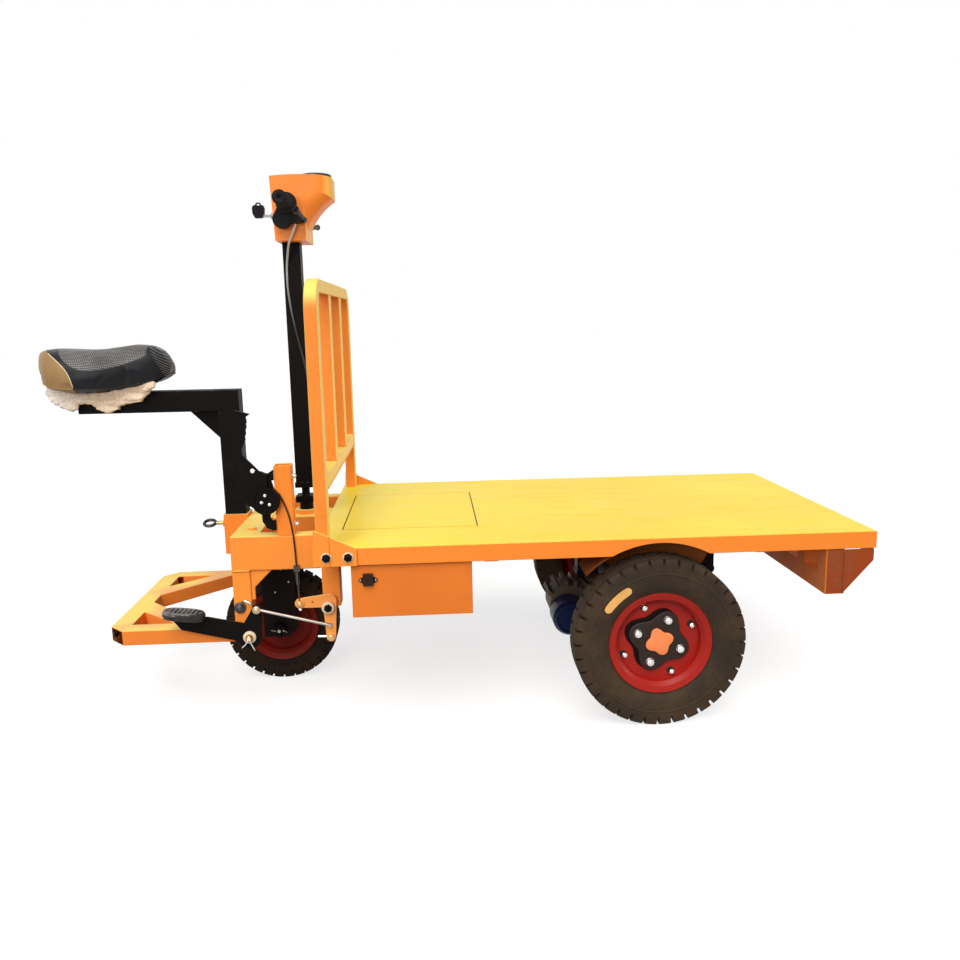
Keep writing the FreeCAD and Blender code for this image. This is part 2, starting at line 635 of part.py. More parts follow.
def steering_column():
    """Square column above a two-plate coupling on the stem."""
    half = COLUMN_TUBE / 2
    x = (STEER_STATION - half, STEER_STATION + half)
    tube = block(x, (-half, half), (COUPLING_TOP, CONTROL_BOTTOM))
    plate = (STEER_STATION - COUPLING_HALF, STEER_STATION + COUPLING_HALF)
    plate_y = (-COUPLING_HALF, COUPLING_HALF)
    upper = block(plate, plate_y, (COUPLING_TOP - COUPLING_PLATE * 0.8, COUPLING_TOP))
    foot = (COUPLING_BOTTOM, COUPLING_BOTTOM + COUPLING_PLATE)
    lower = block(plate, plate_y, foot)
    neck = rod((STEER_STATION, 0, foot[1]), (STEER_STATION, 0, COUPLING_TOP), NECK_RADIUS)
    hole = rod((STEER_STATION, 0, foot[0]), (STEER_STATION, 0, foot[0] + STEM_SOCKET), STEM_RADIUS)
    return fuse([tube, upper, neck, lower.cut(hole)])


def head_outline():
    """Closed wire of the head's side view: square at the back, swept in below the nose."""
    back = STEER_STATION - CONTROL_BACK
    nose = STEER_STATION + CONTROL_NOSE
    foot_back = STEER_STATION - CONTROL_FOOT_BACK
    foot_front = STEER_STATION + CONTROL_FOOT_FRONT
    nose_top = CONTROL_TOP - CONTROL_NOSE_DROP
    nose_low = CONTROL_TOP - CONTROL_NOSE_DEPTH
    y = -CONTROL_HALF_WIDTH
    a = Vector(back, y, CONTROL_TOP - 4)
    b = Vector((back + nose) / 2, y, CONTROL_TOP)
    c = Vector(nose, y, nose_top)
    d = Vector(nose, y, nose_low)
    e = Vector(foot_front, y, CONTROL_BOTTOM)
    f = Vector(foot_back, y, CONTROL_BOTTOM)
    chord = e - d
    bow = Vector(chord.z, 0, -chord.x).normalize() * CONTROL_SWEEP
    sweep = Part.Arc(d, (d + e) * 0.5 + bow, e).toShape()
    straight = [Part.LineSegment(p, q).toShape() for p, q in ((c, d), (e, f), (f, a))]
    return Part.Wire([Part.Arc(a, b, c).toShape(), straight[0], sweep, straight[1], straight[2]])


def control_head():
    """Moulded housing of the steering head, rounded down its front, with a raised panel on each side."""
    body = Part.Face(head_outline()).extrude(Vector(0, 2 * CONTROL_HALF_WIDTH, 0))
    foot_front = STEER_STATION + CONTROL_FOOT_FRONT
    front = []
    for edge in body.Edges:
        ends = [v.Point for v in edge.Vertexes]
        along = len(ends) == 2 and abs(ends[0].y - ends[1].y) < 0.01
        if along and all(p.x > foot_front - 0.01 for p in ends):
            front.append(edge)
    body = body.makeFillet(CONTROL_NOSE_RADIUS, front)
    x = (STEER_STATION - CONTROL_PANEL[0], STEER_STATION + CONTROL_PANEL[1])
    y = CONTROL_HALF_WIDTH + CONTROL_PANEL_STAND
    panel = block(x, (-y, y), (CONTROL_BOTTOM, CONTROL_TOP - CONTROL_PANEL_DROP))
    return body.fuse(panel).cut(display())


def display():
    """Domed instrument set into the top of the housing."""
    x = STEER_STATION + DISPLAY_OFFSET
    low = CONTROL_TOP - CONTROL_NOSE_DROP - DISPLAY_SINK
    top = low + DISPLAY_SINK + DISPLAY_STAND
    drum = rod((x, 0, low), (x, 0, top), DISPLAY_RADIUS)
    dome = Part.makeSphere(DISPLAY_DOME, Vector(x, 0, top - DISPLAY_DOME))
    return drum.common(dome)


GRIP_X = STEER_STATION + GRIP_OFFSET
GRIP_Z = CONTROL_TOP - GRIP_DROP
GRIP_START = CONTROL_HALF_WIDTH + 2 * PERCH_GAP + PERCH_WIDTH


def grip(sign):
    """Handlebar end with a flanged rubber grip."""
    bar = pin(GRIP_X, GRIP_Z, side(CONTROL_HALF_WIDTH + CONTROL_PANEL_STAND, GRIP_START, sign), BAR_RADIUS)
    flange = pin(GRIP_X, GRIP_Z, side(GRIP_START, GRIP_START + 5, sign), GRIP_FLANGE_RADIUS)
    sleeve = pin(GRIP_X, GRIP_Z, side(GRIP_START, GRIP_START + GRIP_LENGTH, sign), GRIP_RADIUS)
    return fuse([bar, flange, sleeve])


def brake_levers():
    """Clamp, switch block and finger lever beside each grip."""
    inner = CONTROL_HALF_WIDTH + PERCH_GAP
    outer = inner + PERCH_WIDTH
    pieces = []
    for s in BOTH_SIDES:
        y = side(inner, outer, s)
        hood = link_plate([(GRIP_X, GRIP_Z), (GRIP_X - 18, GRIP_Z - 42)], [GRIP_RADIUS, 24], y)
        pivot = link_plate([(GRIP_X - 8, GRIP_Z - 38), (GRIP_X + 42, GRIP_Z - 42)], [16, 8], y)
        hood = fuse([hood, pivot]).cut(pin(GRIP_X, GRIP_Z, y, BAR_RADIUS))
        root = (GRIP_X + 42, s * (outer - 6), GRIP_Z - 42)
        tip = (GRIP_X + 40, s * (GRIP_START + GRIP_LENGTH - 8), GRIP_Z - 30)
        pieces.append(fuse([hood, rod(root, tip, 6.5), Part.makeSphere(9, Vector(*tip))]))
    return Part.makeCompound(pieces)


def ignition_key():
    """Key in its lock on the driver's side of the head."""
    face = STEER_STATION - CONTROL_BACK
    y = -30.0
    z = GRIP_Z - 24
    barrel = rod((face - 7, y, z), (face, y, z), 9)
    blade = block((face - 30, face), (y - 1.5, y + 1.5), (z - 4, z + 4))
    middle = face - 42
    half_bow = [(6, 37), (8, 31), (16, 28), (18, 20), (17, 6), (10, -6)]
    outline = half_bow + [(-x, up) for x, up in reversed(half_bow)]
    bow = plate_xz([(middle + x, z + up) for x, up in outline], (y - 4.5, y + 4.5))
    slot = block((middle - 4, middle + 4), (y - 6, y + 6), (z + 29, z + 34))
    return fuse([barrel, blade, bow.cut(slot)]).cut(control_head())


# ---------------------------------------------------------------- brake linkage on the driver's right
LINK_Y = -FRONT_HALF_WIDTH - 8
LINK_PLATE = 8.0
PEDAL_PIVOT = (-205.0, 238.0)
ROD_FRONT = (-180.0, 319.0)
ROD_REAR = (19.0, 266.0)
CRANK_PIVOT = (16.0, 317.0)
CRANK_ARM = (-62.0, 330.0)
CRANK_FOOT = (20.0, 228.0)
CRANK_CORNER = (4.0, 18.0)
PAD_GROOVE_COUNT = 4
PAD_GROOVE_PITCH = 20.0
PAD_GROOVE_WIDTH = 5.0
LINK_SPAN = (LINK_Y - LINK_PLATE, LINK_Y)
ROD_Y = LINK_Y - LINK_PLATE - 5


def brake_pedal():
    """Pedal lever: foot arm, pivot boss and the upright arm that pulls the rod."""
    px, pz = PEDAL_PIVOT
    foot = plate_xz([(px - 210, pz + 59), (px - 113, pz + 62), (px - 3, pz + 37), (px - 10, pz - 24),
                     (px - 48, pz - 7), (px - 185, pz + 27)], LINK_SPAN)
    plate = link_plate([PEDAL_PIVOT, ROD_FRONT], [34, 13], LINK_SPAN)
    pivot = pin(px, pz, (-FRONT_HALF_WIDTH, LINK_Y - LINK_PLATE - 16), 9)
    washer = pin(px, pz, (LINK_Y - LINK_PLATE, LINK_Y - LINK_PLATE - 3), 17)
    return fuse([foot, plate, pivot, washer])


def pedal_pad():
    """Ribbed rubber foot pad over the end of the pedal arm."""
    px, pz = PEDAL_PIVOT
    y = (LINK_Y - 52, LINK_Y + 6)
    outline = [(px - 229, pz + 80), (px - 212, pz + 92), (px - 150, pz + 91), (px - 120, pz + 80),
               (px - 112, pz + 68), (px - 140, pz + 59), (px - 210, pz + 64)]
    pad = plate_xz(outline, y)
    for n in range(PAD_GROOVE_COUNT):
        x = px - 208 + n * PAD_GROOVE_PITCH
        pad = pad.cut(block((x, x + PAD_GROOVE_WIDTH), y, (pz + 88, pz + 100)))
    return pad.cut(brake_pedal())


def bell_crank():
    """L-shaped crank on the rear leg: a level arm to the cable and an upright arm to the rod."""
    cx, cz = CRANK_PIVOT
    corner = (cx + CRANK_CORNER[0], cz + CRANK_CORNER[1])
    back = link_plate([CRANK_ARM, corner], [13, 19], LINK_SPAN)
    hole = pin(CRANK_ARM[0] + 35, CRANK_ARM[1] + 2, LINK_SPAN, 3)
    front = link_plate([corner, CRANK_FOOT], [19, 13], LINK_SPAN)
    pivot = pin(cx, cz, (-FRONT_HALF_WIDTH, LINK_Y - LINK_PLATE - 10), 15)
    arm_pin = pin(CRANK_ARM[0], CRANK_ARM[1], (LINK_Y, LINK_Y - LINK_PLATE - 6), 6)
    foot_pin = pin(CRANK_FOOT[0], CRANK_FOOT[1], (LINK_Y, LINK_Y - LINK_PLATE - 5), 9)
    return fuse([back.cut(hole), front, pivot, arm_pin, foot_pin])


def tie_rod():
    """Rod from the pedal's upright arm to the crank, with a stud below it."""
    front = (ROD_FRONT[0], ROD_Y, ROD_FRONT[1])
    rear = (ROD_REAR[0], ROD_Y, ROD_REAR[1])
    eye = pin(ROD_FRONT[0], ROD_FRONT[1], (LINK_Y - LINK_PLATE, ROD_Y - 7), 10)
    hook = pin(ROD_REAR[0], ROD_REAR[1], (LINK_Y - LINK_PLATE, ROD_Y - 5), 5)
    return fuse([eye, rod(front, rear, 4), hook])


HAND_POST_STATION = -115.0
HAND_POST_TUBE = 46.0
HAND_POST_HEIGHT = 195.0


def handbrake_post():
    """Open-topped tube that the handbrake is bolted to."""
    x = (HAND_POST_STATION, HAND_POST_STATION + HAND_POST_TUBE)
    y = (-FRONT_HALF_WIDTH, HAND_POST_TUBE - FRONT_HALF_WIDTH)
    z = (DECK_TOP, DECK_TOP + HAND_POST_HEIGHT)
    return block(x, y, z).cut(block((x[0] + SHEET, x[1] - SHEET), (y[0] + SHEET, y[1] - SHEET), z))


HAND_PIVOT = (-137.0, 624.0)
HAND_CABLE = 2.2
HAND_LEVER = 10.0
HAND_HOUSING = 18.0
HAND_HOUSING_RADIUS = 38.0
HAND_RIM = 4.0
FINGER_COUNT = 4
FINGER_PITCH = (2.5, 17.0)
FINGER_RADIUS = 9.0


def handbrake_lever():
    """Ratchet handbrake: finger-grip lever, round ratchet housing and the bracket on its post."""
    px, pz = HAND_PIVOT
    bracket_y = (-FRONT_HALF_WIDTH - PLATE, -FRONT_HALF_WIDTH)
    face = bracket_y[0]
    y = (face - HAND_LEVER, face)
    edge = [(px - 69, pz + 247), (px - 28, pz + 236), (px - 40, pz + 228), (px - 38, pz + 215),
            (px - 44, pz + 168), (px - 56, pz + 140), (px - 54, pz + 125), (px - 13, pz + 80),
            (px + 6, pz + 72), (px + 6, pz + 10), (px - 27, pz - 24), (px - 63, pz - 2),
            (px - 72, pz + 59), (px - 80, pz + 140), (px - 84, pz + 168),
            (px - 82, pz + 200)]
    lever = plate_xz(edge, y)
    for n in range(FINGER_COUNT):
        lever = lever.cut(pin(px - 31 - n * FINGER_PITCH[0], pz + 208 - n * FINGER_PITCH[1], y,
                              FINGER_RADIUS))
    front = face - HAND_HOUSING
    housing = pin(px, pz, (front, face), HAND_HOUSING_RADIUS)
    dish = pin(px, pz, (front, front + HAND_RIM), HAND_HOUSING_RADIUS - 7)
    rim = pin(px, pz, (front, front + HAND_RIM), HAND_HOUSING_RADIUS).cut(dish)
    rivets = [pin(px + dx, pz + dz, (front, front - 3), 4) for dx, dz in ((0, 16), (-10, -3), (11, -9))]
    housing = housing.cut(dish).fuse([rim] + rivets)
    upper = plate_xz([(px - 13, pz + 80), (px + 6, pz + 72), (px + 22, pz + 83), (px + 22, pz + 54),
                      (px - 13, pz + 46)],
                     bracket_y)
    spine = link_plate([(px, pz + 60), (px, pz)], [14, 30], bracket_y)
    hook = plate_xz([(px - 16, pz - 20), (px - 14, pz - 60), (px - 3, pz - 79), (px + 12, pz - 85),
                     (px + 22, pz - 85), (px + 22, pz - 56), (px + 13, pz - 58), (px + 8, pz - 50),
                     (px + 10, pz - 20)], bracket_y)
    return fuse([lever, housing, upper, spine, hook])


def handbrake_cable():
    """Cable from the ratchet housing to the crank, through a stop on the side beam."""
    y = -FRONT_HALF_WIDTH - 5
    px, pz = HAND_PIVOT
    outer = cable([(px + 34, y - 3, pz + 18), (px + 46, y - 1, pz - 8), (px + 58, y, pz - 46),
                   (px + 66, y, pz - 96), (px + 69, y, pz - 150), (px + 70, y, BEAM_BOTTOM + 6)],
                  HAND_CABLE)
    outer = outer.cut(handbrake_lever())
    stop = block((px + 62, px + 78), (-FRONT_HALF_WIDTH - 10, -FRONT_HALF_WIDTH),
                 (BEAM_BOTTOM - 4, BEAM_BOTTOM + 12))
    eye = Vector(CRANK_ARM[0], LINK_Y - LINK_PLATE - 3, CRANK_ARM[1] + 5)
    start = Vector(px + 70, y, BEAM_BOTTOM)
    inner = rod(start, eye, HAND_CABLE)
    adjuster = rod(start, start + (eye - start) * 0.45, 2.2 * HAND_CABLE)
    return fuse([outer, stop, adjuster, inner.cut(bell_crank())])


def brake_cable():
    """Cable from the brake lever, down the column's near face and round its edge to the load side."""
    half = COLUMN_TUBE / 2
    face = -half - LEVER_CABLE - 0.2
    run = CONTROL_BOTTOM - COUPLING_TOP
    start = GRIP_Z - 53.5
    under = CONTROL_BOTTOM - 7
    beside = -GRIP_START + 20
    points = [(GRIP_X + 19, beside, start), (GRIP_X + 8, beside + 2, (start + under) / 2),
              (GRIP_X - 5, beside + 12, under)]
    # offset from the column's middle, place across the machine, share of the column's length from its top
    on_column = ((-7, -50, 0.05), (-15, face, 0.10), (-16, face, 0.177), (-9, face, 0.278),
                 (5, face, 0.387), (18, face, 0.471), (25, face, 0.526), (half + 4, face, 0.57),
                 (half + 4, -14, 0.61), (half - LEVER_CABLE, -2, 0.64))
    points += [(STEER_STATION + x, y, CONTROL_BOTTOM - share * run) for x, y, share in on_column]
    return cable(points, LEVER_CABLE).cut(steering_column())


# ---------------------------------------------------------------- rear axle and drive
AXLE_END = REAR_TRACK_HALF - REAR_TYRE_WIDTH / 2 - 8
AXLE_TUBE = 32.0
DRUM_WIDTH = 38.0
DRUM_GAP = 4.0
DRUM_RADIUS = 84.0
BACKING_RADIUS = 96.0
BACKING_PLATE = 5.0
STUB_STAND = 8.0
MOTOR_REACH = 198.0
MOTOR_STATION = REAR_AXLE_STATION - MOTOR_REACH
MOTOR_RADIUS = 53.0
MOTOR_DROP = 19.0
MOTOR_BACK = 112.0
MOTOR_FRONT = 200.0
CASE_RADIUS = 62.0
CASE_OFFSET = (10.0, 15.0)
CASE_INNER = 8.0
MOTOR_RIM = 13.0
MOTOR_DISH = 8.0
MOTOR_CHAMFER = 14.0
HOUSING_PROFILE = ((58.0, 70.0), (86.0, 30.0), (90.0, 0.0))
RIB_COUNT = 4
RIB_REACH = 16.0
RIB_WIDTH = 12.0
RIB_FIRST = 148.0
RIB_PITCH = 24.0


def rear_axle():
    """Axle tube with the differential housing and the ribbed gear case towards the motor."""
    z = REAR_TYRE_RADIUS
    x = REAR_AXLE_STATION
    case_at = (MOTOR_STATION + CASE_OFFSET[0], z - MOTOR_DROP + CASE_OFFSET[1])
    tube = pin(x, z, (-AXLE_END, AXLE_END), AXLE_TUBE)
    half = [(r, -y) for r, y in HOUSING_PROFILE] + [(r, y) for r, y in reversed(HOUSING_PROFILE[:-1])]
    housing = turned([(0, half[0][1])] + half + [(0, half[-1][1])], (x, z))
    case = link_plate([case_at, (x, z)], [CASE_RADIUS, 2 * AXLE_TUBE], (-MOTOR_BACK / 2, -CASE_INNER))
    drum_y = (-MOTOR_BACK, -CASE_INNER)
    ribs = []
    for n in range(RIB_COUNT):
        rib = block((CASE_RADIUS / 2, CASE_RADIUS + RIB_REACH), drum_y, (-RIB_WIDTH / 2, RIB_WIDTH / 2))
        rib.rotate(Vector(0, 0, 0), Y_AXIS, n * RIB_PITCH - RIB_FIRST)
        rib.translate(Vector(case_at[0], 0, case_at[1]))
        ribs.append(rib)
    drum = pin(case_at[0], case_at[1], drum_y, CASE_RADIUS)
    return fuse([tube, housing, case, drum] + ribs)


def drive_motor():
    """Electric motor with a dished fan cover, bolted to the gear case."""
    dish = MOTOR_RADIUS - MOTOR_RIM
    bottom = MOTOR_DISH - MOTOR_FRONT
    return turned([(0, -MOTOR_BACK), (MOTOR_RADIUS, -MOTOR_BACK),
                   (MOTOR_RADIUS, MOTOR_CHAMFER - MOTOR_FRONT),
                   (MOTOR_RADIUS - MOTOR_DISH, -MOTOR_FRONT), (dish, -MOTOR_FRONT), (dish, bottom),
                   (0, bottom)],
                  (MOTOR_STATION, REAR_TYRE_RADIUS - MOTOR_DROP))


def wheel_stub(sign):
    """Brake drum and stub that carry one rear wheel."""
    z = REAR_TYRE_RADIUS
    x = REAR_AXLE_STATION
    drum = pin(x, z, side(AXLE_END, AXLE_END + DRUM_WIDTH, sign), DRUM_RADIUS)
    plate = pin(x, z, side(AXLE_END, AXLE_END + BACKING_PLATE, sign), BACKING_RADIUS)
    stub = pin(x, z, side(AXLE_END, REAR_TRACK_HALF + STUB_STAND, sign), STUB_RADIUS)
    return fuse([drum, plate, stub])


SPRING_HALF = 185.0
SPRING_LEAF = 8.0
SPRING_EYE_DROP = 92.0
LEAF_COUNT = 3
LEAF_STEP = 0.27
HANGER_RADIUS = 14.0
HANGER_WIDTH = 22.0
CLAMP_LENGTH = 96.0
CLAMP_PLATE = 10.0
CLAMP_BOLT_PITCH = 76.0
CLAMP_BOLT_RADIUS = 5.0
CLAMP_BOLT_INSET = 8.0
CLAMP_BOLT_STAND = 8.0


def bow(radius, half_angle, centre, y):
    """Arc that hangs below its centre, from one side to the other."""
    points = []
    for angle in (-half_angle, 0, half_angle):
        points.append(Vector(centre[0] + radius * math.sin(angle), y, centre[1] - radius * math.cos(angle)))
    return points


def spring_leaf(radius, half, centre, y):
    """One bowed leaf between two arcs about the same centre."""
    half_angle = math.asin(half / radius)
    upper = bow(radius, half_angle, centre, min(y))
    lower = bow(radius + SPRING_LEAF, half_angle, centre, min(y))
    edges = [Part.Arc(*lower).toShape(), Part.LineSegment(lower[2], upper[2]).toShape(),
             Part.Arc(*upper).toShape(), Part.LineSegment(upper[0], lower[0]).toShape()]
    return Part.Face(Part.Wire(edges)).extrude(Vector(0, abs(y[1] - y[0]), 0))


def leaf_spring(sign):
    """Leaf spring between the axle and the deck frame, with hangers and clamp bolts."""
    x = REAR_AXLE_STATION
    eye_z = FRAME_BOTTOM - SPRING_EYE_DROP
    tube = (REAR_TYRE_RADIUS - AXLE_TUBE, REAR_TYRE_RADIUS + AXLE_TUBE)
    pad_top = tube[1] + SPRING_LEAF
    seat = pad_top + LEAF_COUNT * SPRING_LEAF
    rise = eye_z - seat
    radius = (SPRING_HALF ** 2 + rise ** 2) / (2 * rise)
    y = side(FRAME_HALF, FRONT_HALF_WIDTH, sign)
    parts = []
    for n in range(LEAF_COUNT):
        half = SPRING_HALF * (1 - LEAF_STEP * n)
        parts.append(spring_leaf(radius + n * SPRING_LEAF, half, (x, seat + radius), y))
    for e in BOTH_SIDES:
        eye_x = x + e * SPRING_HALF
        hanger = (eye_x - HANGER_WIDTH / 2, eye_x + HANGER_WIDTH / 2)
        parts.append(pin(eye_x, eye_z + 5, y, HANGER_RADIUS))
        parts.append(block(hanger, y, (eye_z, FRAME_BOTTOM)))
    ends = (tube[0] - CLAMP_PLATE - CLAMP_BOLT_STAND, seat + SPRING_LEAF + CLAMP_BOLT_STAND)
    for bolt_x in (x - CLAMP_BOLT_PITCH / 2, x + CLAMP_BOLT_PITCH / 2):
        for bolt_y in (sign * (FRAME_HALF + CLAMP_BOLT_INSET),
                       sign * (FRONT_HALF_WIDTH - CLAMP_BOLT_INSET)):
            parts.append(rod((bolt_x, bolt_y, ends[0]), (bolt_x, bolt_y, ends[1]), CLAMP_BOLT_RADIUS))
    clamp = (x - CLAMP_LENGTH / 2, x + CLAMP_LENGTH / 2)
    parts.append(block(clamp, y, (tube[0] - CLAMP_PLATE, tube[0])))
    parts.append(block(clamp, y, (tube[1], pad_top + SPRING_LEAF * 0.6)))
    return fuse(parts)


# ---------------------------------------------------------------- wheels
def ring_point(centre, radius, y, angle):
    """Point at one angle of a wheel."""
    return Vector(centre[0] + radius * math.cos(angle), y, centre[1] + radius * math.sin(angle))


def facet(corners):
    """Plane face through the corners."""
    return Part.Face(Part.makePolygon(corners + corners[:1]))


def lugged_tyre(radius, width, bead, lugs, centre, y_mid):
    """Tyre with shoulder lugs: each pitch is a lug and the groove after it, in plane facets."""
    half = width / 2
    pitch = 2 * math.pi / lugs
    bead = bead / math.cos(LUG_SHARE * pitch / 2)
    sidewall = [(bead, -0.62 * half), (bead + 18, -0.94 * half), ((bead + radius) / 2, -half),
                (radius - 30, -0.99 * half)]
    crown = (radius, -0.62 * half)
    lug = sidewall + [(radius - 7, -0.94 * half), crown]
    groove = sidewall + [(radius - LUG_DEPTH, -0.66 * half), crown]
    loops = []
    for one in (lug, groove):
        loops.append(one + [(r, -y) for r, y in reversed(one)])
    faces = []
    for n in range(lugs):
        steps = (n * pitch, (n + LUG_SHARE) * pitch, (n + 1) * pitch)
        for loop, a0, a1 in zip(loops, steps, steps[1:]):
            for (r0, y0), (r1, y1) in zip(loop, loop[1:] + loop[:1]):
                faces.append(facet([ring_point(centre, r0, y_mid + y0, a0),
                                    ring_point(centre, r1, y_mid + y1, a0),
                                    ring_point(centre, r1, y_mid + y1, a1),
                                    ring_point(centre, r0, y_mid + y0, a1)]))
        for angle in steps[1:]:
            for flip in BOTH_SIDES:
                wall = [lug[3], lug[4], lug[5], groove[4]]
                faces.append(facet([ring_point(centre, r, y_mid + flip * y, angle) for r, y in wall]))
    solid = Part.makeSolid(Part.makeShell(faces))
    if solid.Volume < 0:
        solid.reverse()
    return solid


def rim(radius, width, hub, bore, centre, y_mid, sign):
    """Pressed rim: bead flanges, a well and a disc set in from the outer side, with its hub tube.

    The hub is its radius and how far its tube reaches inward of the wheel's middle.
    """
    hub_radius, hub_back = hub
    seat = radius - RIM_FLANGE
    bead = 0.62 * width / 2 + 0.5
    lip = bead + RIM_FLANGE
    wall = 5.0
    face = DISC_SHARE * width / 2
    profile = [(bore, -hub_back), (hub_radius, -hub_back), (hub_radius, face - wall),
               (seat - 4 * wall, face - wall), (seat - wall, -bead), (radius - 2, -lip - wall),
               (radius, -lip), (seat, -bead), (seat, bead), (radius, lip), (radius - 2, lip + wall),
               (seat - 2 * wall, lip), (seat - 4 * wall, bead - 3),
               (seat - 4 * wall - 2, face), (hub_radius, face), (hub_radius, face + 2), (bore, face + 2)]
    return turned([(r, y_mid + sign * y) for r, y in profile], centre)


def rear_wheel(sign):
    """Tyre, rim and four-lobed hub plate of one rear wheel."""
    centre = (REAR_AXLE_STATION, REAR_TYRE_RADIUS)
    y_mid = sign * REAR_TRACK_HALF
    seat = REAR_RIM_RADIUS - RIM_FLANGE
    carcass = lugged_tyre(REAR_TYRE_RADIUS, REAR_TYRE_WIDTH, seat, REAR_LUGS, centre, y_mid)
    bore = STUB_RADIUS + RUNNING_FIT
    hub_back = REAR_TRACK_HALF - AXLE_END - DRUM_WIDTH - DRUM_GAP
    wheel = rim(REAR_RIM_RADIUS, REAR_TYRE_WIDTH, (2 * STUB_RADIUS, hub_back), bore, centre, y_mid, sign)
    disc = REAR_TRACK_HALF + DISC_SHARE * REAR_TYRE_WIDTH / 2
    face = sign * (disc + 2)
    recess = side(disc - RIM_BOLT_SINK, disc + RIM_BOLT_SINK, sign)
    for n in range(WHEEL_BOLTS):
        at = ring_point(centre, RIM_BOLT_CIRCLE, 0,
                        math.radians(RIM_BOLT_TURN + n * FULL_TURN / WHEEL_BOLTS))
        wheel = wheel.cut(pin(at.x, at.z, recess, RIM_BOLT_HOLE))
    y = (face, face + sign * HUB_PLATE)
    lobes = [pin(centre[0], centre[1], y, HUB_LOBE_REACH)]
    for n in range(WHEEL_BOLTS):
        lobe = ring_point(centre, HUB_LOBE_REACH, 0,
                          math.radians(HUB_NUT_TURN + n * FULL_TURN / WHEEL_BOLTS))
        lobes.append(pin(lobe.x, lobe.z, y, HUB_LOBE_RADIUS))
        lobes.append(pin(lobe.x, lobe.z, (face, face + 2.4 * sign * HUB_PLATE), 7))
    lobes.append(pin(centre[0], centre[1], (face, face + 2 * sign * HUB_PLATE), HUB_CAP_RADIUS))
    return carcass, wheel, fuse(lobes)


def front_wheel():
    """Tyre and rim of the steered wheel."""
    centre = (FRONT_AXLE_STATION, FRONT_TYRE_RADIUS)
    seat = FRONT_RIM_RADIUS - RIM_FLANGE
    carcass = lugged_tyre(FRONT_TYRE_RADIUS, FRONT_TYRE_WIDTH, seat, FRONT_LUGS, centre, 0)
    hub = (2.6 * AXLE_RADIUS, FRONT_TYRE_WIDTH / 2 + 3)
    wheel = rim(FRONT_RIM_RADIUS, FRONT_TYRE_WIDTH, hub, AXLE_RADIUS + RUNNING_FIT, centre, 0, -1)
    return carcass, wheel


# ---------------------------------------------------------------- nodes
NODES = {
    "deck_plate": deck_plate, "deck_frame": deck_frame, "hatch_lid": hatch_lid, "battery_box": battery_box,
    "battery_block": battery_block, "charging_socket": charging_socket, "rear_bumper": rear_bumper,
    "headboard_frame": headboard_frame, "headboard_bars": headboard_bars, "front_frame": front_frame,
    "head_beam": head_beam, "front_legs": front_legs, "step_frame": step_frame, "seat_socket": seat_socket,
    "seat_post": seat_post, "saddle": saddle, "saddle_wrap": saddle_wrap, "steering_fork": steering_fork,
    "front_axle": front_axle, "steering_column": steering_column, "control_head": control_head,
    "display": display, "brake_levers": brake_levers, "ignition_key": ignition_key,
    "brake_cable": brake_cable,
    "brake_pedal": brake_pedal, "pedal_pad": pedal_pad, "bell_crank": bell_crank, "tie_rod": tie_rod,
    "handbrake_post": handbrake_post, "handbrake_lever": handbrake_lever,
    "handbrake_cable": handbrake_cable,
    "rear_axle": rear_axle, "drive_motor": drive_motor,
}
PAIRS = {"bracket_plate": bracket_plate, "grip": grip, "wheel_arch": wheel_arch, "wheel_stub": wheel_stub,
         "leaf_spring": leaf_spring}
for node, make in NODES.items():
    export(node, make())
for name, sign in (("right", -1), ("left", 1)):
    for node, make in PAIRS.items():
        export(node + "_" + name, make(sign))
    rubber, steel, hub = rear_wheel(sign)
    export("rear_tyre_" + name, rubber)
    export("rear_rim_" + name, steel)
    export("wheel_hub_" + name, hub)
rubber, steel = front_wheel()
export("front_tyre", rubber)
export("front_rim", steel)
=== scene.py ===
"""Looks of the electric platform trolley: materials, tyres, saddle, fasteners, light and camera.

Metres, in the row frame: +X towards the load end, +Y to the driver's left, +Z up.
"""
import json
import math

import bmesh
import bpy
from mathutils import Matrix, Vector, noise
from mathutils.bvhtree import BVHTree

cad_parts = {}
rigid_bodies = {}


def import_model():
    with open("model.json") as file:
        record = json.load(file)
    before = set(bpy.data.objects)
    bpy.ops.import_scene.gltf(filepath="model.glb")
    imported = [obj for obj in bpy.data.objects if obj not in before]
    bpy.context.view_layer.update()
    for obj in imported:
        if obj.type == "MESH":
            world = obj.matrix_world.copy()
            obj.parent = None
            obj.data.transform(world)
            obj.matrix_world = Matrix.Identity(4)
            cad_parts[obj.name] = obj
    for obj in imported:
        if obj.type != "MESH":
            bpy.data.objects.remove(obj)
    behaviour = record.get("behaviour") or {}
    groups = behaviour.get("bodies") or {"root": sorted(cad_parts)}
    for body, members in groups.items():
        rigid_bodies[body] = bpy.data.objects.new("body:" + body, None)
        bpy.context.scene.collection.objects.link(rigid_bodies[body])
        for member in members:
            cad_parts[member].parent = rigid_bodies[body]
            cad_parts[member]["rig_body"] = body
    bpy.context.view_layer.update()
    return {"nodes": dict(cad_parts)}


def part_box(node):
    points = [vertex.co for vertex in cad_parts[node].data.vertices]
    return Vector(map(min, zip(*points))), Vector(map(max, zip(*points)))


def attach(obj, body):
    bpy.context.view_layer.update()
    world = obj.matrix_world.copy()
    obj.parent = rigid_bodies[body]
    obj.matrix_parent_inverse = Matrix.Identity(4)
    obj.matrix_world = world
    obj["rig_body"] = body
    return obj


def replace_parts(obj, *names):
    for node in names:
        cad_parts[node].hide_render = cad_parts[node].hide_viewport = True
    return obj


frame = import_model()
NODES = frame["nodes"]
MM = 0.001
TURN = 2 * math.pi
# Names of the two sides and the sign of Y on each.
SIDES = (("right", -1), ("left", 1))

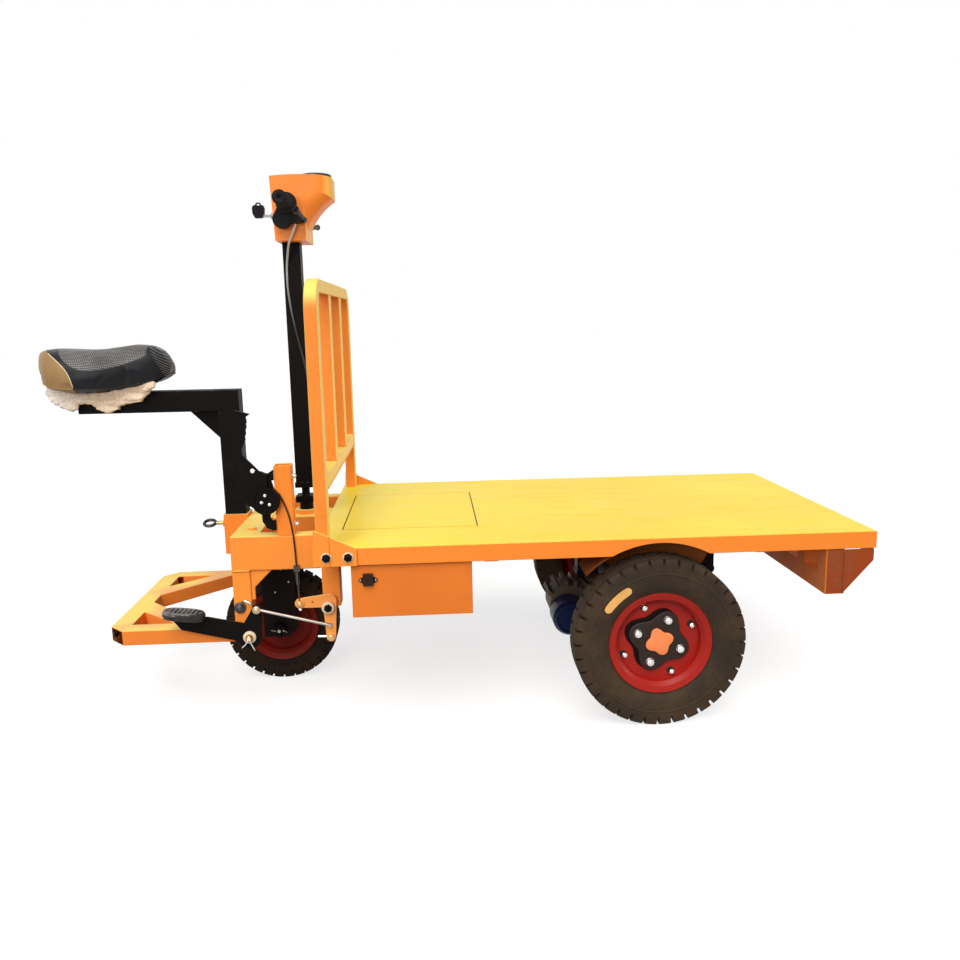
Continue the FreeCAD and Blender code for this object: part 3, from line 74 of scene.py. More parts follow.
# Where the tan panel of the saddle ends: height of its foot above the arm, height, reach from the tail,
# how far it sweeps back at the top and how it bends.
TAN_LOW = 11 * MM
TAN_HEIGHT = 116 * MM
TAN_REACH = 138 * MM
TAN_SWEEP = 97 * MM
TAN_BEND = 2.6

# Pitch of the deck's tread pattern.
TREAD_PITCH = 26 * MM
# The seat of the saddle, from its tail and above the arm: where its dotted top is lowest, how far it
# reaches, how much its rim rises behind and ahead, and where the ribbed nose begins.
BOWL_MIDDLE = 180 * MM
BOWL_REACH = 135 * MM
BOWL_LOW = 69 * MM
RISE_BEHIND = 115 * MM
RISE_AHEAD = 30 * MM
NOSE_START = 326 * MM
# Waves per metre, in radians, of the saddle's dots and of the ribs on its nose.
DOT_WAVE = 640.0
RIB_WAVE = 560.0
RIB_CLIMB = 900.0

ORANGE = (0.90, 0.245, 0.028)
# Painted highlight: the amber of the deck's top where light falls on its orange enamel.
DECK_HIGHLIGHT = (0.92, 0.65, 0.022)
# Painted highlight: the paler colour of orange enamel on faces that look up.
TOP_HIGHLIGHT = (0.93, 0.68, 0.15)


# ---------------------------------------------------------------- node helpers
class Look:
    """A material's node tree with short ways to add what it needs."""

    def __init__(self, name):
        self.material = bpy.data.materials.new(name)
        self.material.use_nodes = True
        self.tree = self.material.node_tree
        self.shader = self.tree.nodes["Principled BSDF"]
        self.place = self.tree.nodes.new("ShaderNodeTexCoord").outputs["Object"]

    def put(self, socket, value):
        """Link an output to the socket, or set its value."""
        if isinstance(value, bpy.types.NodeSocket):
            self.tree.links.new(value, socket)
        elif isinstance(value, tuple) and len(value) == 3 and socket.type == "RGBA":
            socket.default_value = (*value, 1.0)
        else:
            socket.default_value = value

    def set(self, **values):
        """Set or link the shader's own sockets."""
        for name, value in values.items():
            self.put(self.shader.inputs[name.replace("_", " ")], value)

    def math(self, operation, a, b=0.0, c=0.0):
        node = self.tree.nodes.new("ShaderNodeMath")
        node.operation = operation
        for socket, value in zip(node.inputs, (a, b, c)):
            self.put(socket, value)
        return node.outputs[0]

    def times(self, a, b):
        return self.math("MULTIPLY", a, b)

    def plus(self, a, b):
        return self.math("ADD", a, b)

    def minus(self, a, b):
        return self.math("SUBTRACT", a, b)

    def noise(self, scale, detail=4.0, rough=0.55, stretch=(1, 1, 1)):
        """Noise between 0 and 1 over the object's own place."""
        node = self.tree.nodes.new("ShaderNodeTexNoise")
        self.put(node.inputs["Vector"], self.stretched(stretch))
        self.put(node.inputs["Scale"], float(scale))
        self.put(node.inputs["Detail"], float(detail))
        self.put(node.inputs["Roughness"], float(rough))
        return node.outputs[0]

    def mottle(self, scale, detail, low, high, *to):
        """Noise spread between two levels."""
        return self.spread(self.noise(scale, detail), low, high, *to)

    def cells(self, scale):
        """Distance in a Voronoi pattern."""
        node = self.tree.nodes.new("ShaderNodeTexVoronoi")
        self.put(node.inputs["Vector"], self.place)
        self.put(node.inputs["Scale"], float(scale))
        return node.outputs["Distance"]

    def parts(self):
        """X, Y and Z of the object's own place."""
        node = self.tree.nodes.new("ShaderNodeSeparateXYZ")
        self.put(node.inputs[0], self.place)
        return node.outputs

    def stretched(self, stretch):
        node = self.tree.nodes.new("ShaderNodeMapping")
        self.put(node.inputs["Vector"], self.place)
        node.inputs["Scale"].default_value = stretch
        return node.outputs[0]

    def spread(self, value, low, high, to_low=0.0, to_high=1.0):
        """Map a range to another one, clamped and smooth."""
        node = self.tree.nodes.new("ShaderNodeMapRange")
        node.interpolation_type = "SMOOTHSTEP"
        for name, v in (("Value", value), ("From Min", low), ("From Max", high), ("To Min", to_low),
                        ("To Max", to_high)):
            self.put(node.inputs[name], v)
        return node.outputs[0]

    def mix(self, factor, a, b):
        """Blend of two colours."""
        node = self.tree.nodes.new("ShaderNodeMix")
        node.data_type = "RGBA"
        self.put(node.inputs[0], factor)
        self.put(node.inputs[6], a)
        self.put(node.inputs[7], b)
        return node.outputs[2]

    def facing(self, direction, low=0.55, high=0.85):
        """1 on faces that look along a direction, 0 on those square to it."""
        node = self.tree.nodes.new("ShaderNodeVectorMath")
        node.operation = "DOT_PRODUCT"
        self.put(node.inputs[0], self.tree.nodes.new("ShaderNodeTexCoord").outputs["Normal"])
        node.inputs[1].default_value = direction
        return self.spread(node.outputs["Value"], low, high)

    def wear(self):
        """1 on the faces that stand for rubbed edges."""
        node = self.tree.nodes.new("ShaderNodeAttribute")
        node.attribute_name = "edge_wear"
        return node.outputs["Fac"]

    def chips(self):
        """Small spots along rubbed edges where the enamel has gone."""
        return self.times(self.spread(self.noise(140, 5, 0.7), 0.60, 0.66), self.wear())

    def bump(self, height, distance, strength):
        node = self.tree.nodes.new("ShaderNodeBump")
        for name, value in (("Height", height), ("Distance", distance), ("Strength", strength)):
            self.put(node.inputs[name], value)
        return node.outputs[0]


def shade(colour, factor):
    """Colour times a factor, held at white."""
    return tuple(min(1.0, c * factor) for c in colour)


def seen(tree):
    """1 for rays from the camera and for what metal and glass show."""
    path = tree.nodes.new("ShaderNodeLightPath").outputs
    total = path["Is Camera Ray"]
    for name in ("Is Glossy Ray", "Is Transmission Ray"):
        node = tree.nodes.new("ShaderNodeMath")
        node.operation = "MAXIMUM"
        tree.links.new(total, node.inputs[0])
        tree.links.new(path[name], node.inputs[1])
        total = node.outputs[0]
    return total


def paint(name, base, rough, top=None, primer=(0.10, 0.07, 0.05), dirt=(0.16, 0.10, 0.05), soil=0.25,
          specular=0.2, ends=None, up=(0.55, 0.85), patch=None):
    """Enamel with orange peel, faint patches, chips along the edges where it wears and a little dirt.

    top is the colour of a painted highlight on the faces that look up, ends that of a painted highlight on
    the ones that look along X, patch another colour that shows through the top one in patches.
    """
    look = Look(name)
    colour = look.mix(look.mottle(3.2, 5, 0.35, 0.7), shade(base, 0.93), shade(base, 1.03))
    if patch:
        top = look.mix(look.spread(look.noise(3.5, 2, 0.4), 0.46, 0.58), top, patch)
    # Painted highlight on the faces that look up.
    if top:
        colour = look.mix(look.facing((0, 0, 1), *up), colour, top)
    # Painted highlight on the faces that look along X.
    if ends:
        sides = look.math("MAXIMUM", look.facing((1, 0, 0)), look.facing((-1, 0, 0)))
        colour = look.mix(look.times(sides, 0.85), colour, ends)
    grime = look.times(look.spread(look.noise(7, 8, 0.7), 0.56, 0.78), soil)
    colour = look.mix(grime, colour, dirt)
    wear_and_highlight = look.chips()
    colour = look.mix(wear_and_highlight, colour, primer)
    peel = look.noise(420, 2)
    height = look.minus(peel, look.times(wear_and_highlight, 2.0))
    gloss = look.mottle(18, 4, 0.3, 0.7, rough - 0.05, rough + 0.07)
    look.set(Base_Color=colour, Roughness=gloss, Normal=look.bump(height, 0.00012, 0.5))
    look.set(Specular_IOR_Level=specular)
    return look.material


def metal(name, base, rough, grain=(1, 1, 1), scale=260):
    """Bare or plated metal with fine grain."""
    look = Look(name)
    fine = look.noise(scale, 4, 0.6, grain)
    colour = look.mix(look.mottle(30, 4, 0.3, 0.7), shade(base, 0.8), base)
    look.set(Base_Color=colour, Metallic=1.0, Normal=look.bump(fine, 0.0001, 0.4))
    look.set(Roughness=look.spread(fine, 0.2, 0.8, rough - 0.08, rough + 0.1))
    return look.material


def plastic(name, base, rough, grain=900, depth=0.0001, specular=0.3):
    """Moulded plastic or rubber with a fine grain."""
    look = Look(name)
    fine = look.cells(grain)
    haze = look.mottle(12, 5, 0.45, 0.75)
    look.set(Base_Color=look.mix(haze, base, tuple(c * 0.85 + 0.008 for c in base)))
    look.set(Roughness=look.mottle(25, 4, 0.3, 0.7, rough - 0.05, rough + 0.08))
    look.set(Normal=look.bump(fine, depth, 0.35), Specular_IOR_Level=specular)
    return look.material


def housing_look():
    """Moulded orange plastic with a painted highlight where it looks up and towards the deck."""
    look = Look("orange_plastic")
    pale = look.facing((0.8, 0, 0.6), 0.25, 0.75)
    colour = look.mix(look.times(pale, 0.9), (0.95, 0.255, 0.035), (0.98, 0.55, 0.10))
    look.set(Base_Color=colour, Normal=look.bump(look.cells(1400), 0.00004, 0.35), Specular_IOR_Level=0.2)
    look.set(Roughness=look.mottle(25, 4, 0.3, 0.7, 0.36, 0.50))
    return look.material


def deck_look():
    """Orange enamel on low-relief tread plate, rubbed along its length; amber painted highlight on top."""
    look = Look("deck_enamel")
    streaks = look.noise(9, 6, 0.6, (0.6, 5, 1))
    colour = look.mix(look.mottle(2.2, 5, 0.35, 0.7), shade(DECK_HIGHLIGHT, 0.92), shade(DECK_HIGHLIGHT, 1.03))
    colour = look.mix(look.times(look.spread(streaks, 0.55, 0.8), 0.30), colour, (0.80, 0.42, 0.06))
    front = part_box("deck_plate")[0].x
    x, y, _ = look.parts()
    # Painted highlight: paler and yellower over the first 0.7 m from the deck's front edge.
    front_highlight = look.spread(x, front, front + 0.7, 0.75, 0.0)
    colour = look.mix(front_highlight, colour, (0.97, 0.80, 0.045))
    # Painted highlight: amber on the faces that look up, plain orange enamel on the sides.
    top = look.facing((0, 0, 1))
    colour = look.mix(top, ORANGE, colour)
    wear_and_highlight = look.chips()
    colour = look.mix(wear_and_highlight, colour, (0.20, 0.09, 0.03))
    heights = []
    for shift, turn in ((0.0, 1.0), (0.5, -1.0)):
        u, v = (look.minus(look.math("FRACT", look.plus(look.math("DIVIDE", way, TREAD_PITCH), shift)), 0.5)
                for way in (x, y))
        p = look.times(look.plus(u, look.times(v, turn)), 1.5)
        q = look.times(look.minus(u, look.times(v, turn)), 5.0)
        reach = look.math("SQRT", look.plus(look.math("POWER", p, 2.0), look.math("POWER", q, 2.0)))
        heights.append(look.spread(reach, 0.35, 0.75, 1.0, 0.0))
    tread = look.times(look.math("MAXIMUM", *heights), top)
    grain = look.times(look.noise(300, 3), 0.12)
    look.set(Base_Color=colour, Normal=look.bump(look.plus(tread, grain), 0.0006, 0.45))
    look.set(Roughness=look.spread(streaks, 0.3, 0.75, 0.34, 0.50), Specular_IOR_Level=0.25)
    return look.material


def rubber_look(name, clean, dusty, specular):
    """Tyre rubber with patches of brown road dust."""
    look = Look(name)
    dust = look.spread(look.noise(9, 7, 0.65), 0.35, 0.72)
    colour = look.mix(look.times(dust, 0.8), clean, dusty)
    fine = look.noise(600, 4)
    look.set(Base_Color=colour, Normal=look.bump(fine, 0.0003, 0.5), Specular_IOR_Level=specular)
    look.set(Roughness=look.spread(fine, 0.3, 0.7, 0.62, 0.85))
    return look.material


def saddle_look():
    """Black vinyl, dotted on the seat and ribbed on the nose, with a tan tail panel."""
    look = Look("saddle_vinyl")
    x, y, z = look.parts()
    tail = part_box("saddle")[0].x
    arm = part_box("seat_post")[1].z
    rise = look.math("DIVIDE", look.minus(z, arm + TAN_LOW), TAN_HEIGHT)
    curve = look.math("POWER", look.math("MINIMUM", look.math("MAXIMUM", rise, 0.0), 1.0), TAN_BEND)
    edge = look.minus(tail + TAN_REACH, look.times(curve, TAN_SWEEP))
    tan = look.times(look.math("LESS_THAN", x, edge), look.math("LESS_THAN", rise, 0.985))
    bowl = look.math("DIVIDE", look.minus(x, tail + BOWL_MIDDLE), BOWL_REACH)
    behind = look.math("POWER", look.math("MINIMUM", bowl, 0.0), 2.0)
    ahead = look.math("POWER", look.math("MAXIMUM", bowl, 0.0), 2.0)
    rim = look.math("MULTIPLY_ADD", ahead, RISE_AHEAD, arm + BOWL_LOW)
    rim = look.math("MULTIPLY_ADD", behind, RISE_BEHIND, rim)
    lean = look.math("MULTIPLY_ADD", look.minus(z, arm + 130 * MM), 0.5, x)
    seat = look.spread(look.minus(z, rim), -2 * MM, 2 * MM)
    seat = look.times(seat, look.spread(x, tail + NOSE_START, tail + NOSE_START + 8 * MM, 1.0, 0.0))
    slope = look.times(look.minus(z, look.math("ABSOLUTE", y)), 0.6)
    one = look.math("SINE", look.times(look.plus(x, slope), DOT_WAVE))
    other = look.math("SINE", look.times(look.minus(x, slope), DOT_WAVE))
    dots = look.spread(look.times(one, other), 0.0, 0.5)
    along = look.plus(look.times(x, RIB_WAVE), look.times(z, RIB_CLIMB))
    nose = look.spread(lean, tail + NOSE_START, tail + NOSE_START + 16 * MM)
    ribs = look.times(look.math("SINE", along), nose)
    grain = look.times(look.cells(1100), 0.25)
    relief = look.plus(look.times(dots, seat), look.times(ribs, 0.7))
    height = look.plus(relief, grain)
    # Painted highlight: the dotted seat is lighter grey than the black sides, in random patches.
    wear_and_highlight = look.times(seat, look.mottle(9, 4, 0.25, 0.75, 0.5, 1.0))
    dotted = look.mix(dots, (0.060, 0.058, 0.058), (0.40, 0.39, 0.38))
    black = look.mix(wear_and_highlight, (0.0030, 0.0028, 0.0045), dotted)
    # Painted highlight: the nose's ribs are lighter grey along their crests.
    black = look.mix(look.times(look.spread(ribs, 0.2, 0.9), 0.7), black, (0.17, 0.165, 0.16))
    tan_colour = look.mix(look.mottle(14, 4, 0.3, 0.7), (0.275, 0.160, 0.062),
                          (0.33, 0.195, 0.080))
    look.set(Base_Color=look.mix(tan, black, tan_colour), Normal=look.bump(height, 0.0006, 0.7))
    look.set(Roughness=look.mottle(20, 4, 0.3, 0.7, 0.32, 0.44), Specular_IOR_Level=0.2)
    return look.material


def pad_look():
    """Grey-black rubber, pale along its edges and ribs: rub marks and a painted highlight."""
    look = Look("pad_rubber")
    # Rub marks and a painted highlight: pale grey on the marked edges, rim and ribs.
    rubbed = look.times(look.wear(), look.mottle(60, 4, 0.3, 0.6, 0.4, 1.0))
    colour = look.mix(look.mottle(35, 5, 0.35, 0.7), (0.010, 0.009, 0.009),
                      (0.040, 0.036, 0.035))
    look.set(Base_Color=look.mix(rubbed, colour, (0.20, 0.185, 0.18)), Roughness=0.5,
             Specular_IOR_Level=0.2)
    look.set(Normal=look.bump(look.cells(500), 0.0003, 0.4))
    return look.material


def foam_look():
    """Cheap recycled foam: pale at the tail, browner below the seat, speckled all over."""
    look = Look("packing_foam")
    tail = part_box("saddle")[0].x
    shadow = look.spread(look.parts()[0], tail + 40 * MM, tail + 190 * MM)
    colour = look.mix(shadow, (0.95, 0.87, 0.78), (0.93, 0.73, 0.54))
    blotch = look.times(look.spread(look.noise(70, 6, 0.7), 0.45, 0.66), shadow)
    colour = look.mix(look.times(blotch, 0.45), colour, (0.56, 0.38, 0.22))
    specks = look.spread(look.noise(380, 3, 0.6), 0.54, 0.64)
    colour = look.mix(look.times(specks, 0.55), colour, (0.30, 0.19, 0.11))
    cells = look.plus(look.cells(330), look.times(look.noise(120, 6, 0.7), 1.4))
    look.set(Base_Color=colour, Roughness=0.95, Specular_IOR_Level=0.1,
             Normal=look.bump(cells, 0.0016, 0.8))
    return look.material


def sheath_highlight_look():
    """Black cable sheath with a painted highlight, pale near the brake lever, fading out towards the deck.
    """
    look = Look("highlit_sheath")
    pale = look.spread(look.parts()[2], 1.06, 1.34)
    look.set(Base_Color=look.mix(pale, (0.012, 0.011, 0.011), (0.55, 0.52, 0.49)), Specular_IOR_Level=0.4)
    look.set(Roughness=0.3, Normal=look.bump(look.noise(900, 3), 0.0001, 0.3))
    return look.material


LOOKS = {
    # The paler tops of these enamels, the rails' paler ends and the step's patches are painted highlights.
    "orange": paint("orange_enamel", ORANGE, 0.48, TOP_HIGHLIGHT),
    "frame_orange": paint("frame_enamel", (0.90, 0.280, 0.038), 0.48, TOP_HIGHLIGHT),
    # Painted highlights: paler tops, and pale yellow ends where the rails look along X.
    "rail_orange": paint("rail_enamel", (0.90, 0.255, 0.032), 0.5, TOP_HIGHLIGHT, (0.95, 0.55, 0.12),
                         up=(0.10, 0.65), ends=(0.98, 0.72, 0.17)),
    "step_orange": paint("step_enamel", (0.84, 0.225, 0.032), 0.5, TOP_HIGHLIGHT, patch=(0.86, 0.44, 0.17)),
    "box_orange": paint("box_enamel", (0.74, 0.185, 0.022), 0.48),
    # Painted shade: the bumper darker than the deck's sides, for the shade under the deck.
    "shaded_bumper_orange": paint("bumper_enamel", (0.68, 0.185, 0.035), 0.5, soil=0.4),
    # Painted shade: the bumper's gussets darker still, for the deeper shade on them.
    "shaded_gusset_orange": paint("gusset_enamel", (0.30, 0.050, 0.008), 0.55, soil=0.7),
    "link_orange": paint("link_enamel", (0.88, 0.33, 0.075), 0.5, (0.93, 0.60, 0.20)),
    # Painted shade: the wheel arches dark brown, for the shade inside them.
    "shaded_arch_orange": paint("arch_enamel", (0.13, 0.036, 0.009), 0.6, dirt=(0.05, 0.025, 0.01), soil=0.5,
                         specular=0.1),
    "deck": deck_look(),
    # Painted shade: the arches' inner walls and lips, a little less dark.
    "shaded_arch_wall": paint("arch_wall_enamel", (0.27, 0.078, 0.016), 0.6, dirt=(0.06, 0.03, 0.012), soil=0.5,
                         specular=0.1),
    "black": paint("black_enamel", (0.0045, 0.0035, 0.0030), 0.46, None, (0.14, 0.11, 0.09),
                   (0.03, 0.02, 0.014), 0.4, 0.05),
    # Painted shade: fork and front axle darker and browner than black enamel, shaded by the frame.
    "fork": paint("fork_enamel", (0.0040, 0.0018, 0.0010), 0.55, None, (0.05, 0.03, 0.02),
                  (0.03, 0.012, 0.006), 0.5, 0.08),
    "red": paint("red_enamel", (0.34, 0.0125, 0.007), 0.34, None, (0.25, 0.05, 0.03), (0.10, 0.02, 0.01),
                 0.35, 0.2),
    # Painted shade: the front rim and the dishes of the rear rims, darker than the red enamel.
    "shaded_red": paint("dark_red_enamel", (0.150, 0.008, 0.003), 0.42, soil=0.5, specular=0.1),
    "blue": paint("blue_enamel", (0.004, 0.010, 0.045), 0.36, soil=0.35, specular=0.15),
    "hub": paint("hub_enamel", (0.020, 0.011, 0.008), 0.45, soil=0.5, specular=0.2),
    "cast": metal("gear_casting", (0.11, 0.080, 0.060), 0.6, scale=120),
    "tyre": rubber_look("tyre_rubber", (0.026, 0.017, 0.010), (0.066, 0.037, 0.018), 0.2),
    "shaded_tyre": rubber_look("front_tyre_rubber", (0.008, 0.005, 0.003), (0.030, 0.016, 0.008), 0.1),
    "key_steel": plastic("key_steel", (0.34, 0.35, 0.32), 0.35, specular=0.5),
    "zinc": metal("zinc_plate", (0.80, 0.79, 0.76), 0.30),
    "dull_zinc": metal("dull_zinc", (0.42, 0.37, 0.31), 0.36),
    "brass": metal("brass", (0.66, 0.40, 0.17), 0.34),
    "dark_steel": metal("blackened_steel", (0.07, 0.066, 0.062), 0.42),
    "housing": housing_look(),
    "black_plastic": plastic("black_plastic", (0.004, 0.0038, 0.0055), 0.45, specular=0.07),
    "socket": plastic("socket_plastic", (0.020, 0.008, 0.004), 0.45, specular=0.14),
    "highlit_sheath": sheath_highlight_look(),
    "glass": plastic("display_glass", (0.010, 0.012, 0.014), 0.10, specular=0.5),
    "grip": plastic("grip_rubber", (0.010, 0.0085, 0.0095), 0.6, specular=0.09),
    "pad": pad_look(),
    "sheath": plastic("cable_sheath", (0.004, 0.004, 0.0045), 0.30, specular=0.3),
    "foam": foam_look(),
    "saddle_vinyl": saddle_look(),
    "piping": plastic("cream_piping", (0.72, 0.56, 0.38), 0.5),
    "cap": plastic("cap_plastic", (0.93, 0.26, 0.085), 0.4, 500, 0.0003),
    "label": plastic("yellow_label", (0.80, 0.42, 0.12), 0.5),
}


def pair(name):
    """A node's name on the right and on the left."""
    return name + "_right", name + "_left"


FINISH = {
    "deck": ("deck_plate", "hatch_lid"),
    "black": ("seat_post", "steering_column", "brake_pedal", "handbrake_lever", *pair("wheel_hub"),
              *pair("wheel_stub"), *pair("leaf_spring")),
    "fork": ("steering_fork", "front_axle"),
    "frame_orange": ("front_frame", "head_beam", "front_legs", *pair("bracket_plate")),
    "rail_orange": ("headboard_frame", "headboard_bars"),
    "step_orange": ("step_frame",),
    "box_orange": ("battery_box",),
    "shaded_bumper_orange": ("rear_bumper",),
    "link_orange": ("bell_crank",),
    "shaded_arch_orange": pair("wheel_arch"),
    "red": pair("rear_rim"),
    "shaded_red": ("front_rim",),
    "blue": ("drive_motor",),
    "cast": ("rear_axle",),
    "tyre": pair("rear_tyre"),
    "shaded_tyre": ("front_tyre",),
    "dull_zinc": ("tie_rod",),
    "key_steel": ("ignition_key",),
    "housing": ("control_head",),
    "black_plastic": ("battery_block", "brake_levers"),
    "socket": ("charging_socket",),
    "glass": ("display",),
    "grip": pair("grip"),
    "pad": ("pedal_pad",),
    "sheath": ("handbrake_cable",),
    "highlit_sheath": ("brake_cable",),
    "foam": ("saddle_wrap",),
    "saddle_vinyl": ("saddle",),
}
LOOK_OF = {node: look for look, nodes in FINISH.items() for node in nodes}


def dress(piece, look):
    """Give a piece one look."""
    piece.data.materials.clear()
    piece.data.materials.append(LOOKS[look])


for node, cad in NODES.items():
    dress(cad, LOOK_OF.get(node, "orange"))


# ---------------------------------------------------------------- mesh helpers
def extent(node):
    """Lowest corner, highest corner and middle of a node at rest."""
    low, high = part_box(node)
    return low, high, (low + high) / 2


def outer_face(node, sign):
    """Y of the side of a node that looks away from the middle of the trolley."""
    low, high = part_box(node)
    return low.y if sign < 0 else high.y


def body_of(node):
    return NODES[node]["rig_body"]


def linked(name, data):
    """New object in the scene."""
    made = bpy.data.objects.new(name, data)
    bpy.context.scene.collection.objects.link(made)
    return made


def add(name, bm, look, body, smooth_angle=35.0, zones=()):
    """Make a piece from a bmesh, shade it, dress it and let it ride on its body.

    Each zone is another look and a test that picks the faces it covers by their middles.
    """
    for face in bm.faces:
        face.smooth = True
        for n, (_, covers) in enumerate(zones):
            if covers(face.calc_center_median()):
                face.material_index = n + 1
    for edge in bm.edges:
        if len(edge.link_faces) == 2 and edge.calc_face_angle(0.0) > math.radians(smooth_angle):
            edge.smooth = False
    mesh = bpy.data.meshes.new(name)
    bm.to_mesh(mesh)
    bm.free()
    piece = linked(name, mesh)
    for used in (look, *(zone[0] for zone in zones)):
        mesh.materials.append(LOOKS[used])
    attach(piece, body)
    return piece


def grid(bm, rows, close_rows=False, close_columns=True):
    """Quads between rows of vertices; rows and columns may each close on themselves."""
    made = [[bm.verts.new(point) for point in row] for row in rows]
    pairs = list(zip(made, made[1:] + made[:1])) if close_rows else list(zip(made, made[1:]))
    for low, high in pairs:
        count = len(low) if close_columns else len(low) - 1
        for i in range(count):
            j = (i + 1) % len(low)
            bm.faces.new((low[i], low[j], high[j], high[i]))
    return made


def closed(bm, rows):
    """Grid whose first and last rows are filled."""
    made = grid(bm, rows)
    bm.faces.new(list(reversed(made[0])))
    bm.faces.new(made[-1])


def outward(bm):
    """Turn every face of closed shells outwards."""
    bmesh.ops.recalc_face_normals(bm, faces=bm.faces)


def angles_of(count):
    """Even angles round a full turn."""
    return [TURN * n / count for n in range(count)]


def turn_place(centre, axis):
    """Matrix that takes +Z to the axis and the origin to the centre."""
    return Matrix.Translation(centre) @ Vector(axis).to_track_quat("Z", "Y").to_matrix().to_4x4()


def lathe(bm, profile, centre, axis, segments=48, start=0.0):
    """Turn (radius, height) points in mm about an axis and close both ends."""
    place = turn_place(centre, axis)
    rows = []
    for radius, height in profile:
        row = []
        for angle in angles_of(segments):
            angle += start
            row.append(place @ (Vector((radius * math.cos(angle), radius * math.sin(angle), height)) * MM))
        rows.append(row)
    closed(bm, rows)


# Radius in mm over which a plate's rim inset is counted.
RIM_RUN = 30


def slab(bm, outline, centre, axis, heights, inset):
    """Plate in mm with an outline of plane points, its outer rim eased by an inset."""
    place = turn_place(centre, axis)
    low, high = heights
    levels = ((1.0, low), (1.0, high - inset), (1.0 - 0.3 * inset / RIM_RUN, high - 0.3 * inset),
              (1.0 - inset / RIM_RUN, high))
    rows = [[place @ (Vector((x * scale, y * scale, height)) * MM) for x, y in outline]
            for scale, height in levels]
    closed(bm, rows)


def tube(bm, points, radius, sides=12):
    """Round tube along points, closed at both ends."""
    route = [Vector(p) for p in points]
    normal = (route[1] - route[0]).orthogonal().normalized()
    rows = []
    for before, here, after in zip(route[:1] + route[:-1], route, route[1:] + route[-1:]):
        along = (after - before).normalized()
        normal = (normal - along * normal.dot(along)).normalized()
        across = along.cross(normal)
        rows.append([here + (normal * math.cos(angle) + across * math.sin(angle)) * radius
                     for angle in angles_of(sides)])
    closed(bm, rows)


def trim_tail(bm, low, high):
    """Draw the rear end of a wheel arch up level with the rail."""
    middle = (low.x + high.x) / 2
    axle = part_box("rear_tyre_right")[1].z / 2
    level = low.z + 48 * MM
    for v in bm.verts:
        if v.co.x > middle and v.co.z < level:
            radius = math.hypot(v.co.x - middle, v.co.z - axle)
            v.co.x = middle + math.sqrt(radius * radius - (level - axle) ** 2)
            v.co.z = level
    bmesh.ops.remove_doubles(bm, verts=bm.verts, dist=1e-5)


def softened(node, width, segments=2):
    """Copy of a CAD node with its sharp edges rounded, which stands for it."""
    bm = bmesh.new()
    bm.from_mesh(NODES[node].data)
    wear_and_highlight = bm.faces.layers.float.new("edge_wear")
    bmesh.ops.remove_doubles(bm, verts=bm.verts, dist=1e-5)
    bmesh.ops.dissolve_limit(bm, angle_limit=math.radians(0.8), verts=bm.verts, edges=bm.edges)
    if node.startswith("wheel_arch"):
        trim_tail(bm, *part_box(node))
    bm.normal_update()
    sharp = [e for e in bm.edges if len(e.link_faces) == 2 and e.calc_face_angle(0.0) > math.radians(28)]
    rounded = bmesh.ops.bevel(bm, geom=sharp, offset=width, segments=segments, profile=0.5, affect="EDGES",
                              clamp_overlap=True)["faces"]
    for face in rounded:
        face[wear_and_highlight] = 1.0
    piece = add(node + "_soft", bm, LOOK_OF.get(node, "orange"), body_of(node), 50, ZONES.get(node, ()))
    weigh = piece.modifiers.new("normals", "WEIGHTED_NORMAL")
    weigh.keep_sharp = True
    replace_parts(piece, node)


DECK_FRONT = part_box("deck_plate")[0].x


def at(x, y, z):
    """Point in metres from millimetres: x from the deck's front edge, y to the left, z up."""
    return Vector((DECK_FRONT + x * MM, y * MM, z * MM))


def on_lid_edge(p):
    """Whether a point lies on the hatch lid's sides, below its rounded top."""
    low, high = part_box("hatch_lid")
    beside = min(p.x - low.x, high.x - p.x, p.y - low.y, high.y - p.y) < 1 * MM
    return beside and p.z < high.z - 0.9 * MM


SOCKET_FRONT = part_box("seat_post")[1].x - 78 * MM
ARCH_WALL_INNER = 326 * MM
RIM_DISH_INNER = 405 * MM
ADJUSTER_END = 0.55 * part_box("front_frame")[0].z + 0.45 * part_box("handbrake_cable")[0].z
BUMPER_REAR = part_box("rear_bumper")[0].x + 50 * MM
ZONES = {
    "seat_socket": [("dark_steel", lambda p: p.x < SOCKET_FRONT),
                    ("brass", lambda p: SOCKET_FRONT - 11 * MM < p.x < SOCKET_FRONT - 1 * MM)],
    # Painted shade: the hatch lid's sides near-black, for the shade in the gap round it.
    "hatch_lid": [("socket", on_lid_edge)],
    "ignition_key": [("black_plastic", lambda p: p.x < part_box("control_head")[0].x - 30 * MM)],
    "handbrake_cable": [("dull_zinc", lambda p: p.z < ADJUSTER_END),
                        ("dark_steel", lambda p: p.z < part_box("front_frame")[0].z + 7 * MM)],
    # Painted shade: the gussets behind the bumper's posts darker than the rest of it.
    "rear_bumper": [("shaded_gusset_orange", lambda p: p.x > BUMPER_REAR + 1 * MM)],
}
for side, _ in SIDES:
    # Painted shade: the arch's inner wall in its own darker orange.
    ZONES["wheel_arch_" + side] = [("shaded_arch_wall", lambda p: abs(p.y) < ARCH_WALL_INNER)]
    # Painted shade: the rim's dish darker than its flange.
    ZONES["rear_rim_" + side] = [("shaded_red", lambda p: abs(p.y) < RIM_DISH_INNER)]

